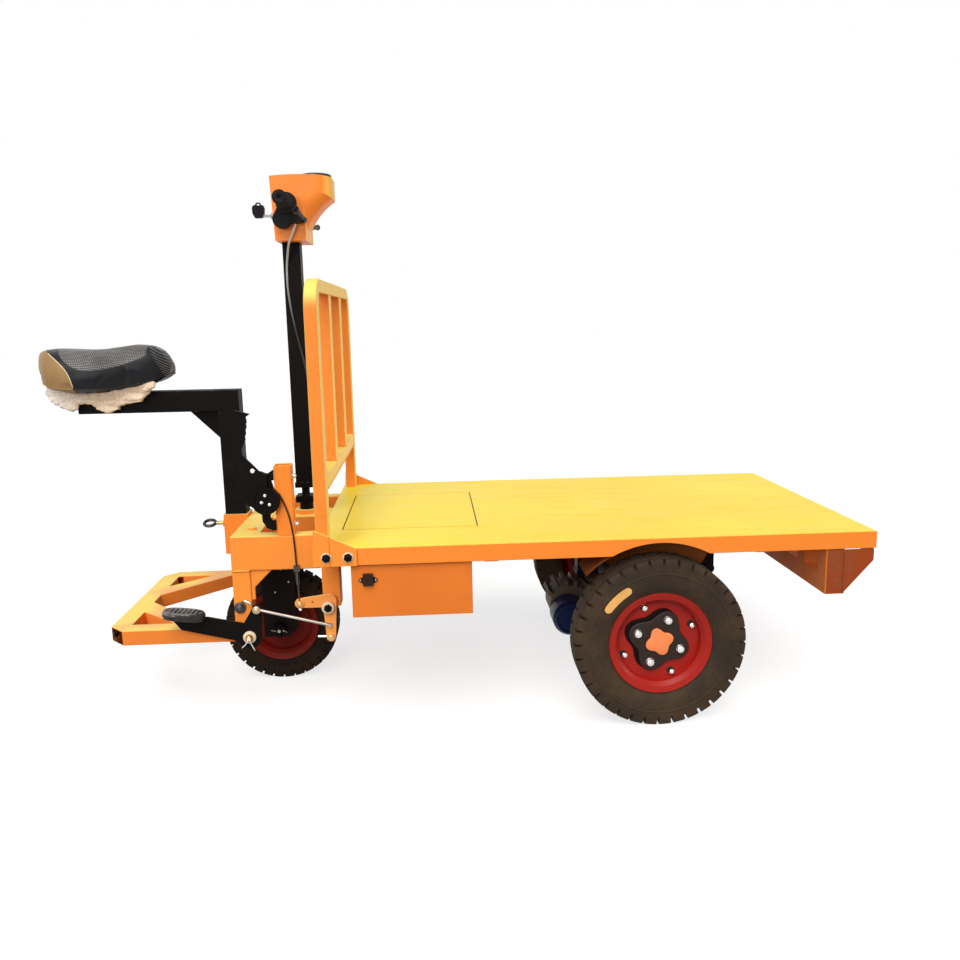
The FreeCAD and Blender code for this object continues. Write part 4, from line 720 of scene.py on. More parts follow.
for node, width in (("deck_plate", 1.2), ("hatch_lid", 0.8), ("deck_frame", 3.0), ("battery_box", 1.2),
                    ("rear_bumper", 3.0), ("headboard_frame", 4.0), ("headboard_bars", 4.0),
                    ("front_frame", 3.5), ("head_beam", 3.0), ("front_legs", 3.0), ("step_frame", 3.5),
                    ("seat_socket", 1.5), ("seat_post", 4.0), ("steering_column", 3.5),
                    ("steering_fork", 1.5), ("control_head", 5.0), ("handbrake_post", 1.0),
                    ("handbrake_lever", 0.8), ("brake_pedal", 1.2), ("bell_crank", 0.8),
                    ("bracket_plate_right", 1.2), ("bracket_plate_left", 1.2), ("brake_levers", 2.0),
                    ("charging_socket", 1.2), ("ignition_key", 0.8), ("wheel_arch_right", 0.8),
                    ("wheel_arch_left", 0.8), ("handbrake_cable", 0.3), ("brake_cable", 0.2),
                    ("drive_motor", 1.0), ("rear_axle", 1.5), ("display", 2.0), ("tie_rod", 0.5),
                    ("rear_rim_right", 0.6), ("rear_rim_left", 0.6)):
    softened(node, width * MM)


# ---------------------------------------------------------------- tyres
def tyre(node, lugs, lug_depth):
    """Tyre with shoulder lugs, a zigzag rib in the middle and raised rings on the sidewall."""
    low, high, centre = extent(node)
    radius = (high.x - low.x) / 2
    half = (high.y - low.y) / 2
    bead = radius * (0.575 if radius > 0.2 else 0.617)
    ring = radius * 0.83
    floor = radius - lug_depth
    # radius and share of the half width on a lug, then in the groove beside it where that differs
    side_rows = [(bead, 0.60), (bead + 3 * MM, 0.74), (bead + 8 * MM, 0.83), (bead + 11 * MM, 0.835),
                 (bead + 13 * MM, 0.875), (bead + 26 * MM, 0.945), ((bead + ring) / 2, 0.98),
                 (ring - 2 * MM, 0.968), (ring, 0.995), (ring + 2 * MM, 0.995), (ring + 4 * MM, 0.962),
                 (radius - 27 * MM, 0.958), (radius - 23 * MM, 0.957, radius - 24 * MM, 0.950),
                 (radius - 14 * MM, 0.948, radius - 17 * MM, 0.86),
                 (radius - 6 * MM, 0.925, floor - 1 * MM, 0.78), (radius - 2 * MM, 0.885, floor, 0.70),
                 (radius - 0.5 * MM, 0.83, floor, 0.64), (radius, 0.70, floor, 0.57),
                 (radius, 0.47, floor, 0.47)]
    rib_rows = [(radius - 8 * MM, 0.44), (radius - 8 * MM, 0.34), (radius, 0.31), (radius, 0.05),
                (radius - 5 * MM, 0.03)]
    # share of one lug's pitch, and 1 on the lug or 0 in the groove
    steps = ((0.0, 1), (0.40, 1), (0.80, 1), (0.825, 0), (0.90, 0), (0.975, 0))
    table = [(row, 1, n >= len(side_rows) - 1) for n, row in enumerate(side_rows + rib_rows)]
    table += [(row, -1, zigzag) for row, _, zigzag in reversed(table)]
    bm = bmesh.new()
    rows = []
    for widths, flip, zigzag in table:
        row = []
        for n in range(lugs):
            for share, lug in steps:
                r, v = widths[:2] if lug else widths[-2:]
                sway = 2.4 * MM * math.sin(TURN * share) if zigzag else 0.0
                angle = TURN * (n + share) / lugs
                row.append((centre.x + r * math.cos(angle), centre.y + flip * v * half + sway,
                            centre.z + r * math.sin(angle)))
        rows.append(row)
    grid(bm, rows, close_rows=True)
    outward(bm)
    piece = add(node + "_tread", bm, LOOK_OF[node], body_of(node), 30)
    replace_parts(piece, node)


tyre("rear_tyre_right", 36, 12 * MM)
tyre("rear_tyre_left", 36, 12 * MM)
tyre("front_tyre", 32, 10 * MM)


# ---------------------------------------------------------------- rear hubs
def lobed(radius, swell, turn_degrees, count=96):
    """Outline with four rounded lobes."""
    points = []
    for angle in angles_of(count):
        wave = 0.5 + 0.5 * math.cos(4 * (angle - math.radians(turn_degrees)))
        reach = radius + swell * wave ** 0.9
        points.append((reach * math.cos(angle), reach * math.sin(angle)))
    return points


def on_wheel(degrees):
    """Direction from a wheel's centre, at an angle seen from the driver's right side."""
    return Vector((math.cos(math.radians(degrees)), 0, math.sin(math.radians(degrees))))


# Thickness of a hub plate in mm, and where the wheel nuts and rim bolts sit.
HUB_PLATE = 9
NUT_ANGLE, NUT_CIRCLE = 68, 63 * MM
BOLT_ANGLE, BOLT_CIRCLE = 23, 100 * MM


def rear_hub(side_name, sign):
    """Lobed hub plate, its cap, wheel nuts and rim bolts on one rear wheel."""
    node = "wheel_hub_" + side_name
    body = body_of(node)
    low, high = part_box(node)
    centre = extent("rear_tyre_" + side_name)[2]
    centre.y = high.y if sign < 0 else low.y
    axis = Vector((0, sign, 0))
    for name, look, radius, swell, turn, offset, heights, inset in (
            ("hub_plate_", "hub", 62, 25, 68, (0, 0, 0), (0, HUB_PLATE), 2.0),
            # A painted shadow: a thin dark sheet like the plate, set off towards the front and up beneath
            # it.
            ("hub_painted_shadow_", "fork", 66, 22, 68, (-9, 0, 6), (0, 1.6), 0.5),
            ("hub_cap_", "cap", 28.5, 10.5, 20, (0, 0, 0), (HUB_PLATE, HUB_PLATE + 9), 1.6)):
        bm = bmesh.new()
        slab(bm, lobed(radius, swell, turn * -sign), centre + Vector(offset) * MM, axis, heights, inset)
        piece = add(name + side_name, bm, look, body)
        if look == "hub":
            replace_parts(piece, node)
    nuts, bolts, hole_shadows = bmesh.new(), bmesh.new(), bmesh.new()
    for n in range(4):
        place = centre + on_wheel(NUT_ANGLE + 90 * n) * NUT_CIRCLE + axis * HUB_PLATE * MM
        lathe(nuts, [(11, 0), (12.5, 0.5), (12.5, 1.5), (9.8, 2.5), (9.8, 8), (8.6, 9.4)],
              place, axis, 24, 0.2 * n)
        lathe(nuts, [(5.4, 9.4), (5.4, 11.5), (4.2, 12.5)], place, axis, 20)
        place = centre + on_wheel(BOLT_ANGLE + 90 * n) * BOLT_CIRCLE - axis * 1.5 * MM
        # Painted shade: a thin dark disc beside each rim bolt, set off forward and up, for the shade in its
        # hole.
        lathe(hole_shadows, [(10, 0), (10, 0.5), (8.5, 0.7)], place + Vector((-4, -sign * 0.6, 4)) * MM, axis, 24)
        lathe(bolts, [(8.0, 0), (8.0, 6), (7, 7.2)], place, axis, 6, 0.2)
        lathe(bolts, [(4.2, 7.2), (4.2, 10), (3.4, 10.8)], place, axis, 16)
    add("wheel_nuts_" + side_name, nuts, "zinc", body)
    add("rim_bolts_" + side_name, bolts, "zinc", body)
    add("bolt_wells_" + side_name, hole_shadows, "hub", body)


for side, way in SIDES:
    rear_hub(side, way)


def capsule_label():
    """Blank arched label on the right rear tyre's sidewall."""
    low, _, centre = extent("rear_tyre_right")
    skin = low.y + 1.2 * MM
    rows = []
    for n in range(25):
        share = n / 24
        angle = math.radians(118 + 30 * share)
        round_end = math.sqrt(max(0.0, 1 - (abs(2 * share - 1) ** 8)))
        row = []
        for k in range(7):
            r = (177 + (k / 3 - 1) * 11 * round_end) * MM
            row.append((centre.x + r * math.cos(angle), skin - 0.8 * MM, centre.z + r * math.sin(angle)))
        rows.append(row)
    bm = bmesh.new()
    grid(bm, rows, close_columns=False)
    thick = bmesh.ops.extrude_face_region(bm, geom=list(bm.faces))["geom"]
    bmesh.ops.translate(bm, vec=(0, 2.2 * MM, 0),
                        verts=[g for g in thick if isinstance(g, bmesh.types.BMVert)])
    outward(bm)
    add("tyre_label", bm, "label", body_of("rear_tyre_right"))


capsule_label()


def mould_marks():
    """Small raised ovals on the outer sidewalls of the rear tyres."""
    for side_name, sign in SIDES:
        centre = extent("rear_tyre_" + side_name)[2]
        centre.y = outer_face("rear_tyre_" + side_name, sign) - sign * 1.0 * MM
        bm = bmesh.new()
        for degrees in (24, -14, 84, 160, 215, 262):
            middle = centre + on_wheel(degrees) * 184 * MM
            rows = []
            for scale, lift in ((1.0, -1.5), (1.0, 0.3), (0.8, 1.1)):
                row = []
                for angle in angles_of(20):
                    offset = on_wheel(degrees + 90) * (9 * MM * math.cos(angle))
                    offset += on_wheel(degrees) * (3.6 * MM * math.sin(angle))
                    row.append(middle + offset * scale + Vector((0, sign * lift * MM, 0)))
                rows.append(row)
            closed(bm, rows)
        outward(bm)
        add("tyre_marks_" + side_name, bm, "tyre", body_of("rear_tyre_" + side_name))


mould_marks()


# ---------------------------------------------------------------- saddle
SADDLE_LOW, SADDLE_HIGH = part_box("saddle")
SADDLE_MARGIN = 5 * MM
ARM_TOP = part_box("seat_post")[1].z
# share of the length from the tail, half width, lower edge and crown above the arm
SADDLE_STATIONS = ((0.0, 10, 38, 92), (0.012, 23, 34, 108), (0.03, 38, 30, 116), (0.045, 50, 27, 120),
                   (0.07, 70, 22, 122), (0.095, 87, 18, 123), (0.13, 102, 13, 123), (0.18, 112, 9, 123),
                   (0.25, 119, 4, 122), (0.38, 120, 0, 120), (0.50, 111, 0, 120), (0.60, 98, 2, 123),
                   (0.70, 85, 5, 126), (0.79, 76, 12, 128), (0.865, 69, 21, 126), (0.92, 61, 27, 117),
                   (0.965, 49, 34, 99), (1.0, 34, 41, 72))


def between(stations, share):
    """Smooth values at a share along the stations."""
    for (s0, *a), (s1, *b) in zip(stations, stations[1:]):
        if share <= s1:
            t = (share - s0) / (s1 - s0)
            return [x + (y - x) * t for x, y in zip(a, b)]
    return list(stations[-1][1:])


def smooth_between(stations, share):
    reach = 0.014
    samples = [between(stations, min(1.0, max(0.0, share + k * reach))) for k in (-1, -0.5, 0, 0.5, 1)]
    return [sum(values) / len(values) for values in zip(*samples)]


def saddle_point(share, angle):
    """Point of the saddle's skin: angle 0 and 180 degrees are its lower edges, 90 its crown."""
    half, low, top = (v * MM for v in smooth_between(SADDLE_STATIONS, share))
    x = SADDLE_LOW.x + SADDLE_MARGIN + (SADDLE_HIGH.x - SADDLE_LOW.x - 2 * SADDLE_MARGIN) * share
    c, s = math.cos(angle), math.sin(angle)
    y = half * math.copysign(abs(c) ** 0.62, c) * (1 - 0.05 * (1 - s) ** 2)
    z = low + (top - low) * s ** 0.78
    dish = 0.0
    if share < 0.75:
        dish = 6 * MM * math.exp(-(c / 0.35) ** 2) * math.sin(math.pi * share / 0.75)
    return Vector((x, y, ARM_TOP + 5 * MM + z - dish))


def tan_edge(z):
    """Where the tan tail panel ends, at a height."""
    share = max(0.0, min(1.0, (z - ARM_TOP - TAN_LOW) / TAN_HEIGHT))
    return SADDLE_LOW.x + TAN_REACH - TAN_SWEEP * share ** TAN_BEND


def result(piece):
    """Mesh of an object with its modifiers applied."""
    return bpy.data.meshes.new_from_object(piece.evaluated_get(bpy.context.evaluated_depsgraph_get()))


def evened(bm, voxel, rounds):
    """Mesh remade with even faces and smoothed a few times."""
    rough = bpy.data.meshes.new("rough")
    bm.to_mesh(rough)
    bm.free()
    source = linked("rough", rough)
    remesh = source.modifiers.new("even", "REMESH")
    remesh.mode = "VOXEL"
    remesh.voxel_size = voxel
    even = bmesh.new()
    even.from_mesh(result(source))
    bpy.data.objects.remove(source)
    for _ in range(rounds):
        bmesh.ops.smooth_vert(even, verts=even.verts, factor=0.5, use_axis_x=True, use_axis_y=True,
                              use_axis_z=True)
    return even


def plumped(bm, voxel, pressure, cap):
    """Mesh remeshed evenly, blown up as cloth under pressure, its moves capped, and subdivided once."""
    smooth = evened(bm, voxel, 3)
    even = bpy.data.meshes.new("plumped")
    smooth.to_mesh(even)
    smooth.free()
    soft = linked("plumped", even)
    start = [vert.co.copy() for vert in even.vertices]
    cloth = soft.modifiers.new("cloth", "CLOTH").settings
    cloth.use_pressure = True
    cloth.uniform_pressure_force = pressure
    cloth.effector_weights.gravity = 0.0
    for frame_number in range(1, 21):
        bpy.context.scene.frame_set(frame_number)
    swollen = result(soft)
    for vert, was in zip(swollen.vertices, start):
        move = vert.co - was
        if move.length > cap:
            vert.co = was + move.normalized() * cap
    bpy.context.scene.frame_set(1)
    soft.modifiers.clear()
    soft.data = swollen
    soft.modifiers.new("finer", "SUBSURF").levels = 1
    fine = result(soft)
    bpy.data.objects.remove(soft)
    made = bmesh.new()
    made.from_mesh(fine)
    return made


def saddle_form():
    """Closed skin of the saddle, a little smaller than it ends up."""
    bm = bmesh.new()
    columns = 44
    rows = []
    for n in range(73):
        share = n / 72
        ease = share - 0.35 * math.sin(TURN * share) / TURN
        row = [saddle_point(ease, math.pi * k / columns) for k in range(columns + 1)]
        left, right = row[-1], row[0]
        hollow = []
        for t in (0.97, 0.9, 0.7, 0.5, 0.3, 0.1, 0.03):
            hollow.append(right + (left - right) * t + Vector((0, 0, 7 * MM * math.sin(math.pi * t))))
        rows.append(row + hollow)
    closed(bm, rows)
    outward(bm)
    return bm


def saddle():
    """Padded saddle with its tan panel's piping and its lower edge."""
    skin = plumped(saddle_form(), 5 * MM, 4.0, 6 * MM)
    surface = BVHTree.FromBMesh(skin)
    piece = add("saddle_skin", skin, "saddle_vinyl", "seat", 60)
    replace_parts(piece, "saddle")
    seam = bmesh.new()
    for angles in (range(4, 62), range(118, 177)):
        points = []
        for degrees in angles:
            low, high = 0.02, 0.6
            for _ in range(30):
                middle = (low + high) / 2
                point = saddle_point(middle, math.radians(degrees))
                if point.x < tan_edge(point.z):
                    low = middle
                else:
                    high = middle
            points.append(surface.find_nearest(saddle_point(low, math.radians(degrees)))[0])
        tube(seam, points, 1.5 * MM, 8)
    add("saddle_piping", seam, "piping", "seat")
    edge = bmesh.new()
    rim = [saddle_point(n / 60, math.radians(2)) for n in range(61)]
    rim += [saddle_point(1 - n / 60, math.radians(178)) for n in range(61)]
    rim = [surface.find_nearest(point)[0] for point in rim]
    tube(edge, rim + rim[:1], 2.2 * MM, 8)
    add("saddle_edge", edge, "saddle_vinyl", "seat")


saddle()


def prism(bm, outline, y):
    """Solid between two Y values whose outline is in the plane of X and Z."""
    rows = [[Vector((px, value, pz)) for px, pz in outline] for value in y]
    closed(bm, rows)


# The wrapping's side view: x from the saddle's tail and height over the arm.
FOAM_SIDE = ((32, 34), (36, 20), (36, -8), (54, -25), (86, -42), (106, -47), (122, -42), (127, -27),
             (168, -27), (176, -46), (214, -58), (240, -48), (247, -36), (302, -27), (332, -6), (339, 8),
             (350, 24), (346, 34))
FOAM_TAIL = ((34, 34), (38, -4), (56, -22), (88, -38), (109, -42), (109, 34))
FOAM_FAR = ((32, 34), (36, 20), (40, -4), (60, -20), (96, -38), (122, -36), (168, -27), (214, -50),
            (247, -32), (290, -20), (300, 0), (300, 30))
FOAM_TOP = ((36, 34), (36, 5), (300, 5), (300, 34))


def packing_foam():
    """Crumpled foam sheet that hangs over both sides of the arm, below the saddle."""
    mass = bmesh.new()
    for outline, y in ((FOAM_SIDE, (-61, -38)), (FOAM_FAR, (38, 61)), (FOAM_TAIL, (-46, 46)),
                       (FOAM_TOP, (-60, 60))):
        prism(mass, [(SADDLE_LOW.x + x * MM, ARM_TOP + z * MM) for x, z in outline], [v * MM for v in y])
    outward(mass)
    bm = evened(mass, 3.5 * MM, 2)
    bm.normal_update()
    moves = []
    for vert in bm.verts:
        p = vert.co
        lump = noise.noise(p * 24) * 6 + noise.noise(p * 60 + Vector((7, 0, 0))) * 4
        lump += noise.noise(p * 160) * 2.5
        fold = abs(noise.noise(Vector((p.x * 12, p.y * 8, p.z * 34)) + Vector((3, 5, 1))))
        crease = -6 * max(0.0, 0.12 - fold) / 0.12
        moves.append(vert.normal * (lump + crease) * MM)
    for vert, move in zip(bm.verts, moves):
        vert.co += move
    piece = add("packing_foam", bm, "foam", "seat", 80)
    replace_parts(piece, "saddle_wrap")


packing_foam()


# ---------------------------------------------------------------- foot pad and hatch seal
def foot_pad():
    """Rounded rubber pad with a raised rim and cross ribs, tilted like the pedal's end."""
    low, high, centre = extent("pedal_pad")
    centre.z += 1.5 * MM
    half_x, half_y = (high.x - low.x) / 2, (high.y - low.y) / 2
    tilt = Matrix.Rotation(math.radians(7), 4, "Y")
    levels = ((0.78, -13.5), (0.92, -12), (0.98, -6), (0.985, 1), (0.96, 7), (0.90, 10.5), (0.84, 11),
              (0.80, 10), (0.78, 7.5))
    bm = bmesh.new()
    rows = []
    for scale, height in levels:
        row = []
        for angle in angles_of(64):
            c, s = math.cos(angle), math.sin(angle)
            x = half_x * scale * math.copysign(abs(c) ** 0.80, c)
            y = half_y * (scale - 0.06 * (scale < 0.85)) * math.copysign(abs(s) ** 0.80, s)
            row.append(centre + tilt @ Vector((x, y, height * MM)))
        rows.append(row)
    closed(bm, rows)
    for n in range(-3, 4):
        reach = half_y * 0.66 * math.sqrt(1 - (n / 4.6) ** 2)
        ends = (centre + tilt @ Vector((n * 11.5 * MM - 2 * MM, -reach, 9 * MM)),
                centre + tilt @ Vector((n * 11.5 * MM + 2 * MM, reach, 9 * MM)))
        tube(bm, [ends[0].lerp(ends[1], k / 8) for k in range(9)], 2.6 * MM, 10)
    # The raised rim and ribs are marked for pale rub marks and a painted highlight.
    wear_and_highlight = bm.faces.layers.float.new("edge_wear")
    for face in bm.faces:
        if face.calc_center_median().z > centre.z + 6 * MM:
            face[wear_and_highlight] = 0.8
    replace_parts(add("pad_rubber", bm, "pad", "chassis", 40), "pedal_pad")


def hatch_seal():
    """Black rubber strip below the gap round the hatch lid."""
    low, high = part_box("hatch_lid")
    bm = bmesh.new()
    rows = []
    for out, z in ((-7, -1.6), (7, -1.6), (7, -0.3), (-7, -0.3)):
        row = []
        for x, y in ((low.x - out * MM, low.y - out * MM), (high.x + out * MM, low.y - out * MM),
                     (high.x + out * MM, high.y + out * MM), (low.x - out * MM, high.y + out * MM)):
            row.append((x, y, low.z + z * MM))
        rows.append(row)
    grid(bm, rows, close_rows=True)
    outward(bm)
    add("hatch_seal", bm, "socket", "chassis")


# The lip below a wheel arch's inner wall: x from the rear axle, and height over the wall's lower edge.
LIP_SHEET = 2.5 * MM
LIP_OUTLINE = ((166, 24), (-170, 24), (-138, 2), (-124, -26), (-96, -48), (-50, -56), (60, -56), (100, -54),
               (122, -50), (152, -36), (170, -2))


def arch_lip(side_name, sign):
    """Inner wall of a wheel arch, carried down behind the tyre, in the arch wall's painted shade."""
    low, high, middle = extent("wheel_arch_" + side_name)
    inner = high.y if sign < 0 else low.y
    foot = low.z + 25 * MM
    bm = bmesh.new()
    prism(bm, [(middle.x + x * MM, foot + z * MM) for x, z in LIP_OUTLINE],
          (inner, inner - sign * LIP_SHEET))
    outward(bm)
    add("arch_lip_" + side_name, bm, "shaded_arch_wall", "chassis", 40)


foot_pad()
hatch_seal()
for side, way in SIDES:
    arch_lip(side, way)


# ---------------------------------------------------------------- fasteners
RIGHT = Vector((0, -1, 0))
LOAD_END = Vector((1, 0, 0))
DOWN = Vector((0, 0, -1))


def washer(bm, place, axis, radius, height):
    """Flat ring with eased rims, drawn as a disc under its bolt."""
    profile = [(radius - 0.5, 0), (radius, 0.5), (radius, height - 0.5), (radius - 0.6, height)]
    lathe(bm, profile, place, axis, 32)


def dome(bm, place, axis, radius, height):
    """Round rivet head or pin end."""
    profile = [(radius, 0), (radius, height * 0.55), (radius * 0.85, height * 0.85),
               (radius * 0.45, height)]
    lathe(bm, profile, place, axis, 24)


def hexagon(bm, place, axis, radius, height):
    """Hexagon head or nut, chamfered, with the thread's end on top."""
    lathe(bm, [(radius, 0), (radius, height * 0.8), (radius * 0.86, height)], place, axis, 6, 0.3)
    thread = [(radius * 0.5, height), (radius * 0.5, height * 1.2), (radius * 0.4, height * 1.3)]
    lathe(bm, thread, place, axis, 16)


def fasteners(name, body, items):
    """Join small parts by look: each item is a shape, look, place, axis, radius and height in mm."""
    groups = {}
    for shape, look, place, axis, radius, height in items:
        bm = groups.setdefault(look, bmesh.new())
        shape(bm, place, axis, radius, height)
    for look, bm in groups.items():
        add(name + "_" + look, bm, look, body, 30)


# Radius and route in mm of each split pin of the linkage.
LINK_PINS = ((1.5, ((-205, -322, 240), (-208, -324, 232), (-216, -323, 221), (-225, -322, 213))),
             (1.5, ((-203, -322, 240), (-201, -324, 230), (-196, -323, 217), (-190, -322, 204))),
             (3.0, ((-222, -295, 338), (-212, -300, 341), (-201, -301, 336), (-192, -300, 329))))
# Y in mm of the levers' and the ratchet housing's faces, and the pitch of the crank stud's thread.
LEVER_FACE = -306
DISC_FACE = -310
STUD_PITCH = 1.8


def linkage_fasteners():
    """Rivets, pins and bolts of the handbrake, pedal and crank on the driver's right."""
    items = [(dome, "zinc", at(x, DISC_FACE, z), RIGHT, 5.0, 8.5)
             for x, z in ((-137, 640), (-147, 621), (-126, 615))]
    for shape, look, x, y, z, axis, radius, height in (
            (dome, "zinc", -167, LEVER_FACE, 707, RIGHT, 6.5, 4),
            (washer, "dull_zinc", -180, -318, 319, RIGHT, 11, 1.5),
            (dome, "brass", -180, -319, 319, RIGHT, 6, 4),
            (washer, "piping", -205, LEVER_FACE, 238, RIGHT, 17.8, 5),
            (dome, "brass", -205, -311, 238, RIGHT, 9.8, 12.5),
            (washer, "dark_steel", -229, -290, 319, RIGHT, 16.5, 3),
            (hexagon, "dark_steel", -229, -293, 319, RIGHT, 12, 9),
            (washer, "piping", 16, LEVER_FACE, 317, RIGHT, 17.5, 11),
            (hexagon, "black", 16, -317, 317, RIGHT, 11.5, 5),
            (washer, "link_orange", -62, LEVER_FACE, 330, RIGHT, 13.5, 2.5),
            (dome, "brass", -62, -308, 330, RIGHT, 8, 6),
            (hexagon, "zinc", -62, -303, 316, DOWN, 5.5, 6),
            (washer, "link_orange", 20, LEVER_FACE, 228, RIGHT, 12, 2.5),
            (dome, "brass", 20, -308, 228, RIGHT, 9.4, 5),
            (washer, "zinc", -69, -267, 684, LOAD_END, 9, 2),
            (hexagon, "zinc", -67, -267, 684, LOAD_END, 7, 7),
            (washer, "zinc", -69, -267, 549, LOAD_END, 9, 2),
            (hexagon, "zinc", -67, -267, 549, LOAD_END, 7, 7)):
        items.append((shape, look, at(x, y, z), axis, radius, height))
    fasteners("linkage", "chassis", items)
    wires = bmesh.new()
    for radius, points in LINK_PINS:
        tube(wires, [at(*point) for point in points], radius * MM, 8)
    add("split_pins", wires, "zinc", "chassis")
    stud = bmesh.new()
    rings = []
    for n in range(15):
        rings += [(3.0, n * STUD_PITCH), (3.7, (n + 0.5) * STUD_PITCH)]
    lathe(stud, rings, at(9, -302, 231), (-1, 0, 0), 16)
    add("crank_stud", stud, "zinc", "chassis")


linkage_fasteners()


def bracket_fasteners():
    """Two bolts through each bracket plate and the screws of the charging inlet."""
    items = []
    for side_name, sign in SIDES:
        face = outer_face("bracket_plate_" + side_name, sign)
        for x in (36, 92):
            place = at(x, face / MM, 499)
            items.append((washer, "piping", place, (0, sign, 0), 14, 1.5))
            items.append((hexagon, "black", place + Vector((0, sign, 0)) * 1.5 * MM, (0, sign, 0), 11.5, 6))
    low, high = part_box("charging_socket")
    for x in (low.x + 5 * MM, high.x - 5 * MM):
        items.append((dome, "dull_zinc", Vector((x, high.y - 2.5 * MM, (low.z + high.z) / 2 - 1.5 * MM)),
                      RIGHT, 2.8, 2.5))
    fasteners("bracket", "chassis", items)


bracket_fasteners()


def axle_fasteners():
    """Small bolts on both sides of the fork and the axle's split pins."""
    low, high, middle = extent("front_axle")
    items = []
    for _, sign in SIDES:
        face = outer_face("steering_fork", sign)
        axis = Vector((0, sign, 0))
        for x, z in ((34, 150), (12, 190), (-8, 118)):
            items.append((dome, "dull_zinc", Vector((middle.x + x * MM, face, middle.z + z * MM)), axis,
                          3.0, 2.5))
        items.append((dome, "dull_zinc", Vector((middle.x, outer_face("front_axle", sign), middle.z)), axis,
                      5.0, 2.0))
    fasteners("fork", "steering", items)
    pins = bmesh.new()
    for y in (low.y + 3 * MM, high.y - 3 * MM):
        wire = ((-24, 3), (-14, 0), (14, 0), (23, -5))
        tube(pins, [Vector((middle.x + x * MM, y, middle.z + z * MM)) for x, z in wire], 1.6 * MM, 8)
    add("axle_split_pins", pins, "dull_zinc", "steering")


axle_fasteners()


def weld_beads():
    """Welds where tubes and plates of the frame meet."""
    across = [((44, -399, 671), (44, 399, 671)), ((11, -399, 671), (11, 399, 671)),
              ((-171, -120, 521.5), (-171, 120, 521.5))]
    seams = {"orange": across, "shaded_gusset_orange": []}
    for _, sign in SIDES:
        seams["orange"] += [((-246, sign * 291, z), (-196, sign * 291, z)) for z in (424, 262)]
        seams["orange"].append(((44.5, sign * 456, 475), (44.5, sign * 456, 556)))
        # The welds on the bumper's gussets share their painted shade.
        seams["shaded_gusset_orange"].append(((1415, sign * 448, 350), (1415, sign * 448, 470)))
    for look, lines in seams.items():
        bm = bmesh.new()
        for start, end in lines:
            a, b = at(*start), at(*end)
            steps = max(6, int((b - a).length / (4 * MM)))
            points = [a.lerp(b, n / steps) for n in range(steps + 1)]
            tube(bm, points, 2.2 * MM, 8)
            for vert in bm.verts[-8 * (steps + 1):]:
                vert.co += Vector((1, 1, 1)) * noise.noise(vert.co * 300) * 0.9 * MM
        add("welds_" + look, bm, look, "chassis", 60)


weld_beads()


# ---------------------------------------------------------------- grips
# Bare bar beside the housing and the pitch of the ribs, in mm.
GRIP_BAR = 43
GRIP_RIB_PITCH = 6.5


def grip(side_name, sign):
    """Ribbed handlebar grip with its flange."""
    node = "grip_" + side_name
    low, high, centre = extent(node)
    start = (high.y if sign < 0 else low.y)
    bm = bmesh.new()
    length = (high.y - low.y) / MM
    profile = [(11, 0), (11, GRIP_BAR), (27, GRIP_BAR), (29, GRIP_BAR + 1.5), (29, GRIP_BAR + 3.5),
               (27, GRIP_BAR + 5), (20, GRIP_BAR + 7)]
    y = GRIP_BAR + 9
    while y < length - 14:
        profile += [(18.6, y), (19.5, y + 1), (19.5, y + 3), (18.6, y + 4)]
        y += GRIP_RIB_PITCH
    profile += [(19.5, length - 10), (19.5, length - 3), (17, length - 0.4), (5, length), (4, length - 6)]
    lathe(bm, profile, (centre.x, start, centre.z), (0, sign, 0), 40)
    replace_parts(add(node + "_ribbed", bm, "grip", "steering"), node)


for side, way in SIDES:
    grip(side, way)


# ---------------------------------------------------------------- stage, light and camera
FLOOR_REACH = 30.0
SUN_WATTS = 2.6
SKY_GLOW = 0.42


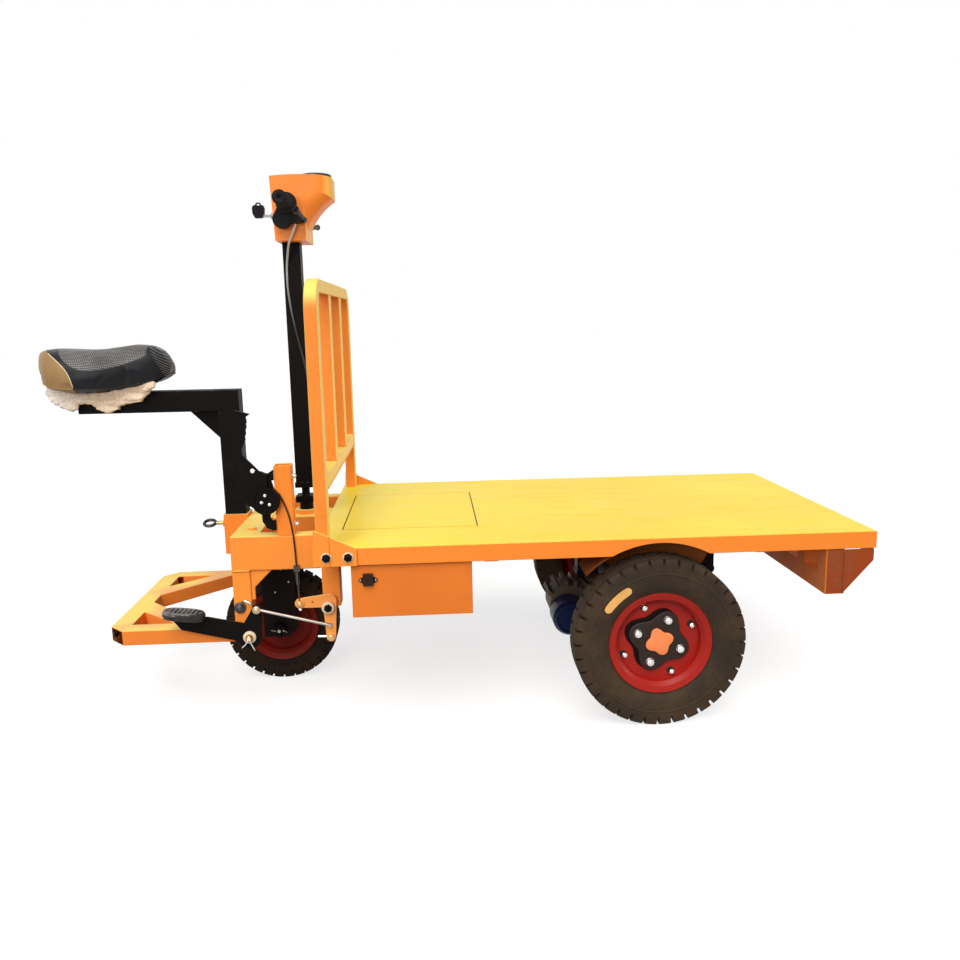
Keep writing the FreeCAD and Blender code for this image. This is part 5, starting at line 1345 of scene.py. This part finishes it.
def stage():
    """White floor that keeps the trolley's shadow."""
    floor = bpy.data.meshes.new("floor")
    size = FLOOR_REACH
    floor.from_pydata([(-size, -size, 0), (size, -size, 0), (size, size, 0), (-size, size, 0)], [],
                      [(0, 1, 2, 3)])
    plane = linked("floor", floor)
    look = Look("floor_white")
    white = seen(look.tree)
    look.set(Base_Color=look.mix(white, (0.22, 0.21, 0.20), (0.36, 0.36, 0.36)), Roughness=1.0,
             Specular_IOR_Level=0.0, Emission_Color=(1.0, 1.0, 1.0),
             Emission_Strength=look.times(white, 0.70))
    floor.materials.append(look.material)


def area_light(name, place, target, size, watts):
    """Soft lamp that looks at a target."""
    light = bpy.data.lights.new(name, "AREA")
    light.shape = "RECTANGLE"
    light.size, light.size_y = size
    light.energy = watts
    lamp = linked(name, light)
    lamp.location = place
    lamp.rotation_euler = (Vector(target) - Vector(place)).to_track_quat("-Z", "Y").to_euler()


# The camera: place, angles in radians, and lens in mm.
EYE = (DECK_FRONT + 0.3127, -2.6153, 1.0962)
YAW = 0.0574
PITCH = 0.1846
ROLL = -0.0182
LENS = 32.213


def light_and_camera():
    """Even studio light and the camera at the photograph's angle."""
    world = bpy.data.worlds.new("studio")
    world.use_nodes = True
    sky = world.node_tree.nodes["Background"]
    glow = world.node_tree.nodes.new("ShaderNodeMapRange")
    world.node_tree.links.new(seen(world.node_tree), glow.inputs["Value"])
    glow.inputs["To Min"].default_value = SKY_GLOW
    glow.inputs["To Max"].default_value = 1.0
    world.node_tree.links.new(glow.outputs[0], sky.inputs["Strength"])
    sky.inputs["Color"].default_value = (1.0, 1.0, 1.0, 1)
    bpy.context.scene.world = world
    sun = bpy.data.lights.new("overhead", "SUN")
    sun.energy = SUN_WATTS
    sun.angle = math.radians(50)
    sun.color = (1.0, 0.98, 0.95)
    linked("overhead", sun).rotation_euler = (math.radians(38), math.radians(-10), 0)
    area_light("front_fill", (-1.4, -3.8, 1.7), (0, 0, 0.6), (1.6, 1.2), 42)
    area_light("end_fill", (3.6, -0.4, 1.0), (0, 0, 0.9), (1.4, 0.9), 34)
    camera = bpy.data.cameras.new("camera")
    camera.sensor_width = 36.0
    camera.lens = LENS
    eye = linked("camera", camera)
    turn = (Matrix.Rotation(-YAW, 4, "Z") @ Matrix.Rotation(TURN / 4 - PITCH, 4, "X")
            @ Matrix.Rotation(ROLL, 4, "Z"))
    eye.matrix_world = Matrix.Translation(EYE) @ turn
    bpy.context.scene.camera = eye
    bpy.context.scene.view_settings.view_transform = "Standard"


stage()
light_and_camera()
